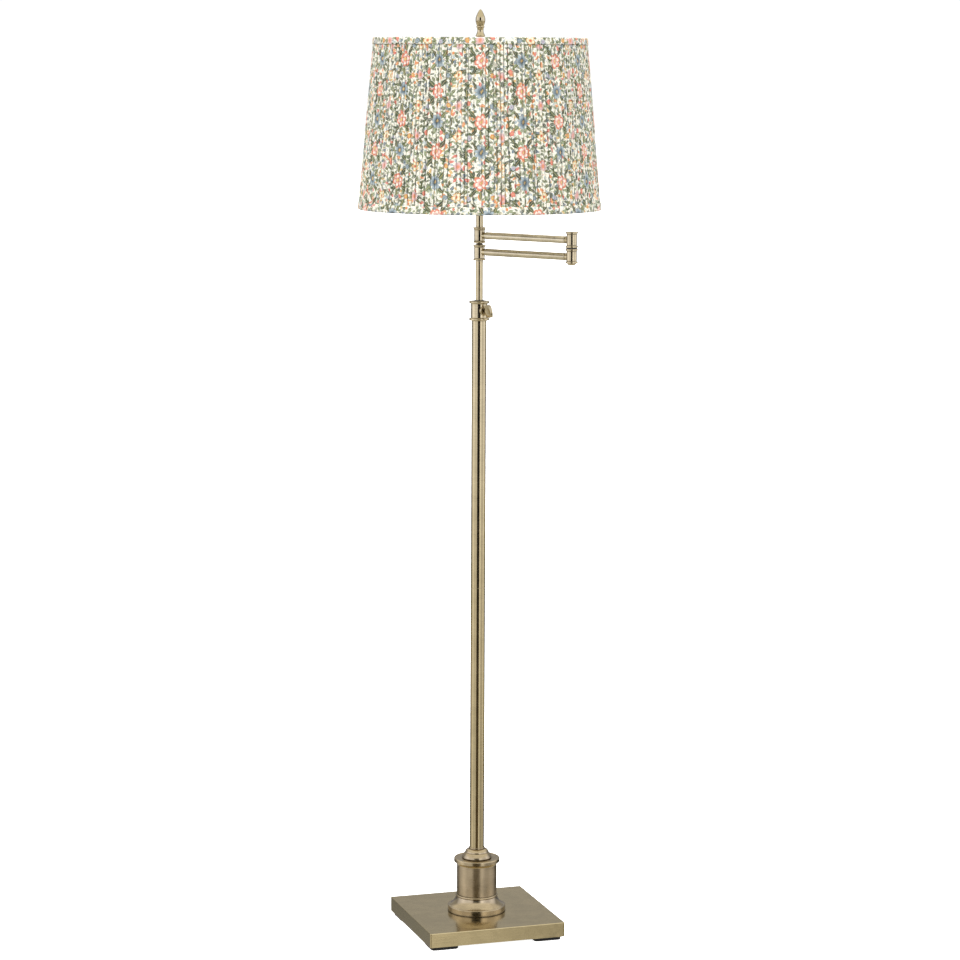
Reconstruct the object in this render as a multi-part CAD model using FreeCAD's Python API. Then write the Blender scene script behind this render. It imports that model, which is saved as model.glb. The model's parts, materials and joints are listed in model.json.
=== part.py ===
import FreeCAD, Part
import math
import os

os.makedirs("parts", exist_ok=True)

# Bridge floor lamp: weighted square base, turned column, two-piece round pole, clutch collar with a
# thumbscrew, sliding inner pole, double swing arm folded back over the pole, stem, harp, socket and shade.
# Millimetres, +Z up. Origin: on the floor under the pole's axis. The base's sides are along X and Y.
# Heights below are above a plane inside the pads; every piece is raised by LIFT when it is saved, to the floor.

# ---------------------------------------------------------------- driving dimensions
# base
LIFT = 2.5
BASE_SIDE = 241.0
BASE_TOP_Z = 28.5
BASE_UNDER_Z = 3.9
BASE_WALL = 1.6
BASE_SKIN = 1.8
BASE_EDGE_R = 1.0
BASE_CORNER_R = 2.2
COVER_T = 1.0
PAD_SIDE = 48.0
PAD_CORNER_R = 7.0
PAD_INSET = 4.5
INLET_R = 3.6
INLET_Z = 14.2
# column
FOOT_R = 49.9
FOOT_LIP_Z = 38.6
BEAD_R = 35.6
BEAD_Z0, BEAD_Z1 = 54.4, 59.0
SLEEVE_R = 34.6
SLEEVE_TOP_Z = 110.8
CAP_R = 39.5
CAP_TOP_Z = 122.2
DOME_R = 25.4
DOME_TOP_Z = 138.0
SEAT_RING_R = 13.6
SEAT_RING_TOP_Z = 141.0
# pole
POLE_R = 12.5
POLE_WALL = 1.2
POLE_FOOT_Z = 130.0
POLE_SEAM_Z = 597.0
POLE_TOP_Z = 1066.0
INNER_R = 6.25
INNER_WALL = 1.0
INNER_FOOT_Z = 700.0
INNER_TOP_Z = 1156.4
STOP_Z = 818.0
# clutch collar
COLLAR_Z0, COLLAR_Z1 = 1055.6, 1088.8
COLLAR_BODY_R = 14.2
COLLAR_FLANGE_R = 17.4
COLLAR_BOSS_R = 8.2
COLLAR_BOSS_END = 15.2
SCREW_Z = 1072.6
SCREW_AZ = -70.5
SCREW_R = 2.9
PADDLE_TILT = 13.0
# swing arms
ARM_AZ = -56.7
ARM_CC = 195.0
ARM_R = 6.1
ARM_WALL = 1.0
ARM_LOW_Z = 1171.4
ARM_UP_Z = 1199.2
STUD_R = 4.0
RUN = 0.06            # radial running clearance of the pivots
NECK_R = 5.2
# head
STEM_R = 6.25
STEM_TOP_Z = 1284.0
HARP_WIRE_R = 1.8
HARP_TOP_Z = 1512.0
SPIDER_Z = 1515.4
FINIAL_TOP_Z = 1575.5
SHADE_TOP_Z, SHADE_BOT_Z = 1528.6, 1243.2
SHADE_TOP_R, SHADE_BOT_R = 178.8, 204.8
SHADE_COVER_T = 3.0
SHADE_LINER_T = 0.8

V = FreeCAD.Vector
Z = V(0, 0, 1)


# ---------------------------------------------------------------- helpers
def turned(points):
    """Solid of revolution about Z. A point is (r, z), or (r, z, rm, zm) for an arc to it through (rm, zm).
    A list of (r, z) is a smooth curve from the last point through all of them."""
    edges = []
    start = V(points[0][0], 0, points[0][1])
    last = start
    for p in list(points[1:]) + [points[0][:2]]:
        if isinstance(p, list):
            curve = Part.BSplineCurve()
            curve.interpolate([last] + [V(q[0], 0, q[1]) for q in p])
            edges.append(curve.toShape())
            last = V(p[-1][0], 0, p[-1][1])
            continue
        end = V(p[0], 0, p[1])
        if (end - last).Length < 1e-6:
            continue
        mid = V(p[2], 0, p[3]) if len(p) == 4 else None
        if mid is not None and (mid - last).cross(end - last).Length > 1e-3 * (end - last).Length:
            edges.append(Part.Arc(last, mid, end).toShape())
        else:
            edges.append(Part.LineSegment(last, end).toShape())
        last = end
    face = Part.Face(Part.Wire(edges))
    solid = face.revolve(V(0, 0, 0), Z, 360)
    if solid.ShapeType != "Solid":
        solid = Part.Solid(Part.Shell(solid.Faces))
    if solid.Volume < 0:
        solid.reverse()
    return solid


def ring(r_out, r_in, z0, z1, soft=0.0):
    """Tube or washer with its outer edges eased by soft."""
    s = soft
    if s > 0:
        k = s * 0.29289
        return turned([(r_in, z0), (r_out - s, z0), (r_out, z0 + s, r_out - k, z0 + k),
                       (r_out, z1 - s), (r_out - s, z1, r_out - k, z1 - k), (r_in, z1)])
    return turned([(r_in, z0), (r_out, z0), (r_out, z1), (r_in, z1)])


def disc(r, z0, z1, soft=0.0):
    k = soft * 0.29289
    if soft > 0:
        return turned([(0, z0), (r - soft, z0), (r, z0 + soft, r - k, z0 + k),
                       (r, z1 - soft), (r - soft, z1, r - k, z1 - k), (0, z1)])
    return Part.makeCylinder(r, z1 - z0, V(0, 0, z0))


def rod(r, start, direction, length):
    return Part.makeCylinder(r, length, start, direction)


def placed(shape, az=0.0, move=(0, 0, 0)):
    s = shape.copy()
    if az:
        s.rotate(V(0, 0, 0), Z, az)
    s.translate(V(*move))
    return s


def single(shape):
    """The one solid of a boolean's result."""
    shape = shape.removeSplitter()
    solids = shape.Solids
    assert len(solids) == 1, len(solids)
    return solids[0]


NODES = {}


def save(name, shape):
    assert name not in NODES, name
    assert shape.isValid() and shape.Volume > 0, name
    shape = shape.copy()
    shape.translate(V(0, 0, LIFT))
    NODES[name] = shape
    shape.exportStep("parts/" + name + ".step")


def rounded_prism(side, corner, z0, z1, cx=0.0, cy=0.0):
    b = Part.makeBox(side, side, z1 - z0, V(cx - side / 2, cy - side / 2, z0))
    upright = [e for e in b.Edges if abs(e.Vertexes[0].Z - e.Vertexes[1].Z) > 1e-6]
    return b.makeFillet(corner, upright)


# ---------------------------------------------------------------- base
H = BASE_SIDE / 2
shell = Part.makeBox(BASE_SIDE, BASE_SIDE, BASE_TOP_Z - BASE_UNDER_Z, V(-H, -H, BASE_UNDER_Z))
corners = [e for e in shell.Edges if abs(e.Vertexes[0].Z - e.Vertexes[1].Z) > 1e-6]
shell = shell.makeFillet(BASE_CORNER_R, corners)
top_edges = [e for e in shell.Edges if min(v.Z for v in e.Vertexes) > BASE_TOP_Z - 1e-6]
shell = shell.makeFillet(BASE_EDGE_R, top_edges)
IN = H - BASE_WALL
INNER_TOP = BASE_TOP_Z - BASE_SKIN
shell = shell.cut(Part.makeBox(2 * IN, 2 * IN, INNER_TOP - BASE_UNDER_Z + 5, V(-IN, -IN, BASE_UNDER_Z - 5)))
NIP_R = 5.0
shell = shell.cut(Part.makeCylinder(NIP_R + 0.25, 20, V(0, 0, INNER_TOP - 5)))
BUSH_R = 6.2
shell = shell.cut(rod(BUSH_R + 0.02, V(0, IN - 5, INLET_Z), V(0, 1, 0), 15))
save("base_shell", single(shell))

W = IN - 0.2
POCKET_R, POCKET_Z = 24.0, 13.6
W0 = BASE_UNDER_Z + COVER_T
weight = Part.makeBox(2 * W, 2 * W, INNER_TOP - W0, V(-W, -W, W0))
weight = weight.cut(Part.makeCylinder(NIP_R + 0.25, 40, V(0, 0, 0)))
weight = weight.cut(Part.makeCylinder(POCKET_R, POCKET_Z - W0 + 5, V(0, 0, W0 - 5)))
# lead channel from the pocket to the inlet in the rear side
weight = weight.cut(Part.makeBox(15.0, W + 5, INLET_Z + 7.2 - W0 + 5, V(-7.5, POCKET_R - 6, W0 - 5)))
SCREW_AT = 58.0
for sx in (-1, 1):
    for sy in (-1, 1):
        weight = weight.cut(Part.makeCylinder(2.02, 12.0, V(sx * SCREW_AT, sy * SCREW_AT, W0 - 1)))
# four moulded pockets lighten the underside, each round a boss for a cover screw
for sx in (-1, 1):
    for sy in (-1, 1):
        pocket = rounded_prism(86.0, 8.0, W0 - 1, W0 + 12.6, sx * 64.0, sy * 64.0)
        pocket = pocket.cut(Part.makeCylinder(7.0, 20, V(sx * SCREW_AT, sy * SCREW_AT, W0 - 5)))
        weight = weight.cut(pocket)
save("base_weight", single(weight))

C = IN - 0.1
cover = Part.makeBox(2 * C, 2 * C, COVER_T, V(-C, -C, BASE_UNDER_Z))
for sx in (-1, 1):
    for sy in (-1, 1):
        cover = cover.cut(Part.makeCylinder(2.2, 4, V(sx * SCREW_AT, sy * SCREW_AT, BASE_UNDER_Z - 1)))
save("base_bottom_cover", single(cover))

screws = []
for sx in (-1, 1):
    for sy in (-1, 1):
        u = BASE_UNDER_Z
        head = turned([(0, u - 2.0), (2.6, u - 2.0), (3.6, u - 1.0, 3.3, u - 1.75), (3.6, u), (0, u)])
        s = head.fuse(Part.makeCylinder(2.0, 9.0, V(0, 0, BASE_UNDER_Z - 0.5)))
        slot1 = Part.makeBox(4.4, 0.8, 1.2, V(-2.2, -0.4, u - 2.2))
        slot2 = Part.makeBox(0.8, 4.4, 1.2, V(-0.4, -2.2, u - 2.2))
        s = single(s.cut(slot1).cut(slot2))
        screws.append(placed(s, 0, (sx * SCREW_AT, sy * SCREW_AT, 0)))
save("bottom_cover_screws", Part.makeCompound(screws))

PC = H - PAD_INSET - PAD_SIDE / 2
pads = []
for sx in (-1, 1):
    for sy in (-1, 1):
        p = rounded_prism(PAD_SIDE, PAD_CORNER_R, -LIFT, BASE_UNDER_Z, sx * PC, sy * PC)
        low = [e for e in p.Edges if max(v.Z for v in e.Vertexes) < 1e-6 - LIFT]
        p = p.makeFillet(0.8, low)
        pads.append(p.Solids[0])
save("base_pads", Part.makeCompound(pads))

bush = turned([(INLET_R, 0), (BUSH_R, 0), (BUSH_R, 7.6), (8.8, 7.6), (8.8, 8.6), (7.9, 9.6, 8.55, 9.3),
               (INLET_R + 0.8, 9.6), (INLET_R, 8.8, INLET_R + 0.23, 9.37)])
bush.rotate(V(0, 0, 0), V(1, 0, 0), -90)
bush.translate(V(0, H - 7.6, INLET_Z))
save("cord_bushing", bush)

save("base_nipple", ring(NIP_R, 3.4, 6.6, 147.0))
nut = Part.Face(Part.makePolygon([V(9.0 * math.cos(math.radians(a)), 9.0 * math.sin(math.radians(a)), 7.4)
                                  for a in range(0, 361, 60)])).extrude(V(0, 0, 4.6))
nut = nut.cut(Part.makeCylinder(NIP_R + 0.02, 20, V(0, 0, 0)))
save("base_locknut", single(nut))
save("base_washer", ring(16.0, NIP_R + 0.1, 12.0, POCKET_Z, 0.3))

# ---------------------------------------------------------------- column
Z0 = BASE_TOP_Z
foot = turned([
    (NIP_R + 0.05, Z0), (FOOT_R - 1.1, Z0), (FOOT_R - 1.1, Z0 + 0.9), (FOOT_R - 0.3, Z0 + 0.9),
    (FOOT_R, Z0 + 1.3, FOOT_R - 0.08, Z0 + 1.02), (FOOT_R, FOOT_LIP_Z - 0.8),
    (FOOT_R - 1.3, FOOT_LIP_Z + 0.5, FOOT_R - 0.38, FOOT_LIP_Z + 0.12),
    (FOOT_R - 2.1, FOOT_LIP_Z + 0.3), (FOOT_R - 2.7, FOOT_LIP_Z + 0.3),
    (BEAD_R + 0.1, BEAD_Z0 - 0.1, 39.9, 45.0),
    (BEAD_R - 0.3, BEAD_Z0),
    (BEAD_R - 0.7, BEAD_Z1 - 0.9, BEAD_R + 0.9, BEAD_Z0 + 1.9),
    (SLEEVE_R - 0.8, BEAD_Z1 - 0.8), (SLEEVE_R - 0.8, BEAD_Z1),
    (SLEEVE_R - 2.1, BEAD_Z1), (SLEEVE_R - 2.1, BEAD_Z1 + 6), (SLEEVE_R - 4.6, BEAD_Z1 + 6),
    (SLEEVE_R - 4.6, Z0 + 3.0), (NIP_R + 0.05, Z0 + 3.0)])
save("column_foot", foot)
save("column_sleeve", ring(SLEEVE_R, SLEEVE_R - 2.05, BEAD_Z1, SLEEVE_TOP_Z))
cap = turned([
    (NIP_R + 0.05, CAP_TOP_Z - 4.0), (SLEEVE_R - 4.6, CAP_TOP_Z - 4.0), (SLEEVE_R - 4.6, SLEEVE_TOP_Z - 5.0),
    (SLEEVE_R - 2.1, SLEEVE_TOP_Z - 5.0), (SLEEVE_R - 2.1, SLEEVE_TOP_Z), (SLEEVE_R + 0.3, SLEEVE_TOP_Z),
    (SLEEVE_R + 0.5, SLEEVE_TOP_Z + 0.9),
    (CAP_R, 115.8, SLEEVE_R + 2.1, 114.3),
    (CAP_R, CAP_TOP_Z - 1.5), (CAP_R - 1.5, CAP_TOP_Z, CAP_R - 0.44, CAP_TOP_Z - 0.44),
    (CAP_R - 2.3, CAP_TOP_Z - 0.1), (CAP_R - 2.9, CAP_TOP_Z - 0.7), (NIP_R + 0.05, CAP_TOP_Z - 0.7)])
save("column_cap", cap)
D0 = CAP_TOP_Z - 0.7
dome = turned([
    (NIP_R + 0.05, D0 + 3.8), (20.0, D0 + 3.8), (22.0, D0), (DOME_R - 0.8, D0),
    (DOME_R, 123.4, DOME_R - 0.13, 122.3), (20.6, 131.7, 23.6, 127.9), (20.0, 131.9), (20.3, 132.3),
    (SEAT_RING_R - 0.1, DOME_TOP_Z, 18.2, 136.2), (POLE_R + 0.05, DOME_TOP_Z), (POLE_R + 0.05, POLE_FOOT_Z),
    (NIP_R + 0.05, POLE_FOOT_Z)])
save("pole_dome", dome)
save("pole_seat_ring", ring(SEAT_RING_R, POLE_R + 0.04, DOME_TOP_Z, SEAT_RING_TOP_Z, 0.5))

# ---------------------------------------------------------------- fixed pole
PI = POLE_R - POLE_WALL
save("lower_pole", ring(POLE_R, PI, POLE_FOOT_Z, POLE_SEAM_Z, 0.25))
save("upper_outer_pole", ring(POLE_R, PI, POLE_SEAM_Z + 0.15, POLE_TOP_Z, 0.25))
save("pole_bottom_plug", ring(PI - 0.03, NIP_R + 0.03, POLE_FOOT_Z, POLE_FOOT_Z + 20))
save("pole_coupler", ring(PI - 0.03, 5.0, POLE_SEAM_Z - 22, POLE_SEAM_Z + 22, 0.6))

# ---------------------------------------------------------------- clutch collar and its bushing
cz0, cz1 = COLLAR_Z0, COLLAR_Z1
BUSHING_R = 8.0
FN = 2.15             # half thickness of the round-edged flanges
collar = turned([
    (POLE_R + 0.03, cz0), (COLLAR_FLANGE_R - FN, cz0),
    (COLLAR_FLANGE_R - FN, cz0 + 2 * FN, COLLAR_FLANGE_R, cz0 + FN),
    (COLLAR_BODY_R + 0.5, cz0 + 2 * FN), (COLLAR_BODY_R, cz0 + 2 * FN + 0.6, COLLAR_BODY_R + 0.15, cz0 + 2 * FN + 0.15),
    (COLLAR_BODY_R, cz1 - 2 * FN - 0.6), (COLLAR_BODY_R + 0.5, cz1 - 2 * FN, COLLAR_BODY_R + 0.15, cz1 - 2 * FN - 0.15),
    (COLLAR_FLANGE_R - FN, cz1 - 2 * FN),
    (COLLAR_FLANGE_R - FN, cz1, COLLAR_FLANGE_R, cz1 - FN),
    (BUSHING_R + 0.02, cz1),
    (BUSHING_R + 0.02, POLE_TOP_Z), (POLE_R + 0.03, POLE_TOP_Z)])
boss_len = COLLAR_BOSS_END - 9.0
boss = rod(COLLAR_BOSS_R, V(9.0, 0, SCREW_Z), V(1, 0, 0), boss_len)
rim_edge = [e for e in boss.Edges if abs(e.BoundBox.XMin - COLLAR_BOSS_END) < 1e-6]
boss = boss.makeFillet(1.2, rim_edge)
# a fine turned line on the boss's face, and a counterbore round the screw
line = rod(6.4, V(COLLAR_BOSS_END - 0.45, 0, SCREW_Z), V(1, 0, 0), 2).cut(
    rod(5.9, V(COLLAR_BOSS_END - 2.0, 0, SCREW_Z), V(1, 0, 0), 4))
boss = boss.cut(line)
boss = boss.cut(Part.makeCylinder(POLE_R + 0.03, 60, V(0, 0, SCREW_Z - 30)))
boss = placed(boss, SCREW_AZ)
hole = placed(rod(SCREW_R + 0.05, V(0, 0, SCREW_Z), V(1, 0, 0), 30), SCREW_AZ)
sink = placed(rod(4.4, V(COLLAR_BOSS_END - 2.2, 0, SCREW_Z), V(1, 0, 0), 6), SCREW_AZ)
collar = single(collar.fuse(boss).cut(hole).cut(sink))
save("clutch_collar", collar)

bushing = turned([
    (INNER_R + 0.05, POLE_TOP_Z), (BUSHING_R, POLE_TOP_Z), (BUSHING_R, cz1), (8.6, cz1), (8.6, cz1 + 0.5),
    (8.1, cz1 + 1.0, 8.45, cz1 + 0.85), (INNER_R + 0.35, cz1 + 1.0), (INNER_R + 0.05, cz1 + 0.7)])
bushing = single(bushing.cut(placed(rod(SCREW_R + 0.15, V(0, 0, SCREW_Z), V(1, 0, 0), 30), SCREW_AZ)))
save("clutch_bushing", bushing)

# ---------------------------------------------------------------- thumbscrew: pad, shank and paddle
pad_tip = rod(2.6, V(INNER_R + 0.06, 0, SCREW_Z), V(1, 0, 0), 2.2)
save("clutch_pad", placed(pad_tip, SCREW_AZ))
PADDLE_X0, PADDLE_X1, PH, PT = 18.0, 34.0, 21.2, 5.2
shank = rod(SCREW_R, V(INNER_R + 2.31, 0, SCREW_Z), V(1, 0, 0), PADDLE_X0 - INNER_R - 2.31)
shank = shank.fuse(rod(1.8, V(PADDLE_X0 - 1, 0, SCREW_Z), V(1, 0, 0), 5.5))
save("thumbscrew_shank", placed(single(shank), SCREW_AZ))


# the paddle is an upright plate: a short neck, rounded shoulders and a flat-arched outer edge
def on_plate(x, z):
    return V(x, 0, SCREW_Z + z)


h = PH / 2
outline = Part.Wire([
    Part.LineSegment(on_plate(PADDLE_X0, -3.8), on_plate(PADDLE_X0, 3.8)).toShape(),
    Part.Arc(on_plate(PADDLE_X0, 3.8), on_plate(20.0, h - 2.6), on_plate(24.4, h)).toShape(),
    Part.LineSegment(on_plate(24.4, h), on_plate(30.6, h)).toShape(),
    Part.Arc(on_plate(30.6, h), on_plate(31.9, h - 0.7), on_plate(32.5, h - 2.0)).toShape(),
    Part.Arc(on_plate(32.5, h - 2.0), on_plate(PADDLE_X1, 0), on_plate(32.5, 2.0 - h)).toShape(),
    Part.Arc(on_plate(32.5, 2.0 - h), on_plate(31.9, 0.7 - h), on_plate(30.6, -h)).toShape(),
    Part.LineSegment(on_plate(30.6, -h), on_plate(24.4, -h)).toShape(),
    Part.Arc(on_plate(24.4, -h), on_plate(20.0, 2.6 - h), on_plate(PADDLE_X0, -3.8)).toShape()])
flat = Part.Face(outline)
flat.translate(V(0, PT / 2, 0))
paddle = flat.extrude(V(0, -PT, 0))
for side in (-1, 1):
    dish = Part.makeSphere(42.0, V(26.2, side * (PT / 2 + 42.0 - 0.55), SCREW_Z))
    paddle = paddle.cut(dish)
paddle = paddle.cut(rod(1.82, V(PADDLE_X0 - 1, 0, SCREW_Z), V(1, 0, 0), 5.6))
paddle = single(paddle)
paddle.rotate(V(0, 0, SCREW_Z), V(1, 0, 0), PADDLE_TILT)
save("thumbscrew_paddle", placed(paddle, SCREW_AZ))

# ---------------------------------------------------------------- inner pole and the pivot on it
save("inner_pole", ring(INNER_R, INNER_R - INNER_WALL, INNER_FOOT_Z, INNER_TOP_Z, 0.25))
# the stop meets the bushing once the pole is drawn right out
stop = ring(PI - 0.25, INNER_R + 0.02, STOP_Z, STOP_Z + 16, 0.8)
save("inner_pole_stop", stop)
LOW0, LOW1 = 1157.2, 1183.2           # pole knuckle
UP0, UP1 = 1186.6, 1208.3             # head knuckle
HEAD1 = 1212.9
plug_r = INNER_R - INNER_WALL - 0.02
pivot = turned([(2.3, INNER_TOP_Z - 18), (plug_r, INNER_TOP_Z - 18), (plug_r, INNER_TOP_Z), (6.1, INNER_TOP_Z),
                (6.1, INNER_TOP_Z + 0.35), (STUD_R, INNER_TOP_Z + 0.35), (STUD_R, LOW1), (3.0, LOW1), (3.0, LOW1 + 1.2),
                (2.3, LOW1 + 1.2)])
pivot = pivot.cut(Part.makeBox(20, 4.0, 9.0, V(-10, -2.0, ARM_LOW_Z - 4.5)))
save("pole_pivot_stud", single(pivot))
save("pole_friction_washer", ring(INNER_R, STUD_R + 0.03, INNER_TOP_Z + 0.35, LOW0 - 0.05))
save("pole_cap_nut", turned([(3.02, LOW1 + 0.05), (7.6, LOW1 + 0.05), (7.6, LOW1 + 0.35),
                             (3.3, LOW1 + 1.72, 5.9, LOW1 + 1.25), (0, LOW1 + 1.72), (0, LOW1 + 1.25),
                             (3.02, LOW1 + 1.25)]))


def knuckle(z0, z1, body_r, flange_r, bore_r, rim=3.3, flare=0.0, low_flange=True, high_flange=True, counterbore=None):
    """Turned pivot housing: a round-edged rim with a turned groove behind it at each end, and a chamber for the lead."""
    pts = [(bore_r, z0)]
    s, k, g, gw = 0.9, 0.26, 0.55, 0.9
    # flare is the height of a hollow cone that replaces part of the rim's inner half
    def end(z, sgn):
        """Profile of one end from its face inwards; sgn is the direction along Z."""
        e = [(flange_r - s, z), (flange_r, z + sgn * s, flange_r - k, z + sgn * k)]
        if flare:
            e += [(flange_r, z + sgn * (rim - flare)),
                  (body_r + 0.45, z + sgn * rim, body_r + 0.75, z + sgn * (rim - 0.45 * flare))]
        else:
            e += [(flange_r, z + sgn * (rim - s)),
                  (flange_r - s, z + sgn * rim, flange_r - k, z + sgn * (rim - k))]
        e += [(body_r - g, z + sgn * rim), (body_r - g, z + sgn * (rim + 0.5 * gw)), (body_r, z + sgn * (rim + gw))]
        return e

    def backwards(path):
        """The same profile walked from its end to its start, with each arc's mid point moved to its other end."""
        out = []
        for n in range(len(path) - 1, -1, -1):
            p = path[n]
            after = path[n + 1] if n + 1 < len(path) else None
            out.append(tuple(p[:2]) + (tuple(after[2:]) if after is not None and len(after) == 4 else ()))
        return out

    if low_flange:
        pts += end(z0, 1)
    else:
        pts += [(body_r - s / 2, z0), (body_r, z0 + s / 2, body_r - 0.13, z0 + 0.13)]
    if high_flange:
        pts += backwards(end(z1, -1))
    else:
        pts += [(body_r, z1 - s / 2), (body_r - s / 2, z1, body_r - 0.13, z1 - 0.13)]
    if counterbore:
        pts += [(counterbore[0], z1), (counterbore[0], z1 - counterbore[1])]
        top = z1 - counterbore[1]
    else:
        top = z1
    pts += [(bore_r, top), (bore_r, top - 5.5), (6.4, top - 5.5), (6.4, z0 + 5.5), (bore_r, z0 + 5.5)]
    return turned(pts)


def with_neck(body, arm_z, start, end, sign):
    """Adds the short hollow neck that carries the arm tube. sign is the neck's direction along the arm."""
    tube = rod(NECK_R, V(sign * 5.0, 0, arm_z), V(sign, 0, 0), end - 5.0)
    spigot = rod(ARM_R - ARM_WALL - 0.02, V(sign * (end - 1), 0, arm_z), V(sign, 0, 0), 9.0)
    s = body.fuse(tube.cut(Part.makeCylinder(6.4, 60, V(0, 0, arm_z - 30)))).fuse(spigot)
    return single(s.cut(rod(3.0, V(0, 0, arm_z), V(sign, 0, 0), end + 12)))


POLE_END, ELBOW_END = 14.4, 12.0
EL0, EL1 = 1160.8, 1184.85            # lower elbow knuckle
EU0, EU1 = 1186.75, 1212.9            # upper elbow knuckle
ELBOW = (ARM_CC, 0, 0)

pole_knuckle = with_neck(knuckle(LOW0, LOW1, 9.2, 10.8, STUD_R + RUN, flare=1.7), ARM_LOW_Z, 9.2, POLE_END, 1)
save("pole_knuckle", placed(pole_knuckle, ARM_AZ))


def arm_tube(z):
    x0, x1 = POLE_END, ARM_CC - ELBOW_END
    t = rod(ARM_R, V(x0, 0, z), V(1, 0, 0), x1 - x0)
    ends = [e for e in t.Edges if e.BoundBox.XLength < 1e-6]
    t = t.makeFillet(0.7, ends)
    return placed(t.cut(rod(ARM_R - ARM_WALL, V(x0 - 5, 0, z), V(1, 0, 0), x1 - x0 + 10)), ARM_AZ).Solids[0]


save("lower_arm_tube", arm_tube(ARM_LOW_Z))
elbow_low = with_neck(knuckle(EL0, EL1, 8.8, 10.2, STUD_R + 0.02), ARM_LOW_Z, 8.8, ELBOW_END, -1)
save("elbow_lower_knuckle", placed(placed(elbow_low, 0, ELBOW), ARM_AZ))
stud = ring(STUD_R, 2.3, EL0, EU1 - 0.9)
stud = stud.cut(Part.makeBox(20, 4.0, 8.0, V(-10, -2, ARM_LOW_Z - 4)))
stud = single(stud.cut(Part.makeBox(20, 4.0, 8.0, V(-10, -2, ARM_UP_Z - 4))))
save("elbow_pivot_stud", placed(placed(stud, 0, ELBOW), ARM_AZ))
bcap = turned([(0, EL0 - 3.0), (3.0, EL0 - 2.9, 1.5, EL0 - 2.98), (7.3, EL0 - 0.5, 6.0, EL0 - 2.2), (7.3, EL0), (0, EL0)])
save("elbow_bottom_cap", placed(placed(bcap, 0, ELBOW), ARM_AZ))
save("elbow_washer", placed(placed(ring(9.2, STUD_R + 0.02, EL1, EU0 - 0.05), 0, ELBOW), ARM_AZ))
tcap = turned([(0, EU1 - 0.85), (6.4, EU1 - 0.85), (6.4, EU1 - 0.1), (5.9, EU1 + 0.1, 6.25, EU1 + 0.04), (0, EU1 + 0.1)])
tcap = tcap.cut(Part.makeBox(9.0, 1.2, 1.0, V(-4.5, -0.6, EU1 - 0.35)))
save("elbow_top_cap", placed(placed(single(tcap), 0, ELBOW), ARM_AZ))

# ---------------------------------------------------------------- upper arm
elbow_up = with_neck(knuckle(EU0, EU1, 8.8, 10.2, STUD_R + RUN, counterbore=(6.5, 0.9)), ARM_UP_Z, 8.8, ELBOW_END, -1)
save("elbow_upper_knuckle", placed(placed(elbow_up, 0, ELBOW), ARM_AZ))
save("upper_arm_tube", arm_tube(ARM_UP_Z))
head_knuckle = with_neck(knuckle(UP0, UP1, 9.2, 10.8, STUD_R + RUN, flare=1.7, high_flange=False), ARM_UP_Z, 9.2, POLE_END, 1)
save("head_knuckle", placed(head_knuckle, ARM_AZ))

# ---------------------------------------------------------------- head: stem and its pivot
hp = ring(STUD_R, 2.3, UP0 - 0.9, HEAD1 + 14.0)
hp = single(hp.cut(Part.makeBox(20, 4.0, 8.0, V(-10, -2, ARM_UP_Z - 4))))
save("head_pivot_stud", hp)
save("head_bottom_cap", turned([(0, UP0 - 1.45), (3.4, UP0 - 1.45), (7.6, UP0 - 0.35, 6.0, UP0 - 1.1), (7.6, UP0 - 0.06),
                                (STUD_R + 0.02, UP0 - 0.06), (STUD_R + 0.02, UP0 - 0.92), (0, UP0 - 0.92)]))
sb = turned([(STUD_R + 0.02, UP1 + 0.06), (9.5, UP1 + 0.06), (9.9, UP1 + 0.5, 9.8, UP1 + 0.2),
             (10.4, UP1 + 2.5, 9.75, UP1 + 1.7), (10.9, UP1 + 3.0, 10.75, UP1 + 2.7), (10.9, HEAD1 - 0.6),
             (10.3, HEAD1, 10.73, HEAD1 - 0.17), (STEM_R - 1.07, HEAD1), (STEM_R - 1.07, HEAD1 + 9.0),
             (STUD_R + 0.02, HEAD1 + 9.0)])
save("stem_base_cap", sb)
save("stem_tube", ring(STEM_R, STEM_R - 1.05, HEAD1, STEM_TOP_Z))
save("stem_check_ring", ring(8.4, STEM_R + 0.02, STEM_TOP_Z - 4.5, STEM_TOP_Z, 1.0))
save("socket_nipple", ring(4.85, 3.2, STEM_TOP_Z - 16, STEM_TOP_Z + 9.0))

# ---------------------------------------------------------------- harp
SAD_T = 1.6
HARP_X = 28.0
sz = STEM_TOP_Z
leg_h = 20.0
outer = Part.makeBox(2 * HARP_X + SAD_T, 9.0, SAD_T, V(-HARP_X - SAD_T / 2, -4.5, sz))
legs = [Part.makeBox(SAD_T, 9.0, leg_h, V(s * HARP_X - SAD_T / 2, -4.5, sz)) for s in (-1, 1)]
saddle = outer.fuse(legs[0]).fuse(legs[1]).fuse(Part.makeCylinder(10.0, SAD_T, V(0, 0, sz)))
saddle = single(saddle.cut(Part.makeCylinder(4.87, 10, V(0, 0, sz - 3))))
bend_edges = [e for e in saddle.Edges if abs(e.BoundBox.ZMin - sz) < 1e-6 and abs(e.BoundBox.ZMax - sz) < 1e-6
              and abs(abs(e.BoundBox.XMin) - HARP_X - SAD_T / 2) < 1e-6 and e.BoundBox.YLength > 8]
saddle = saddle.makeFillet(1.4, bend_edges)
save("harp_saddle", single(saddle))


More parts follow.
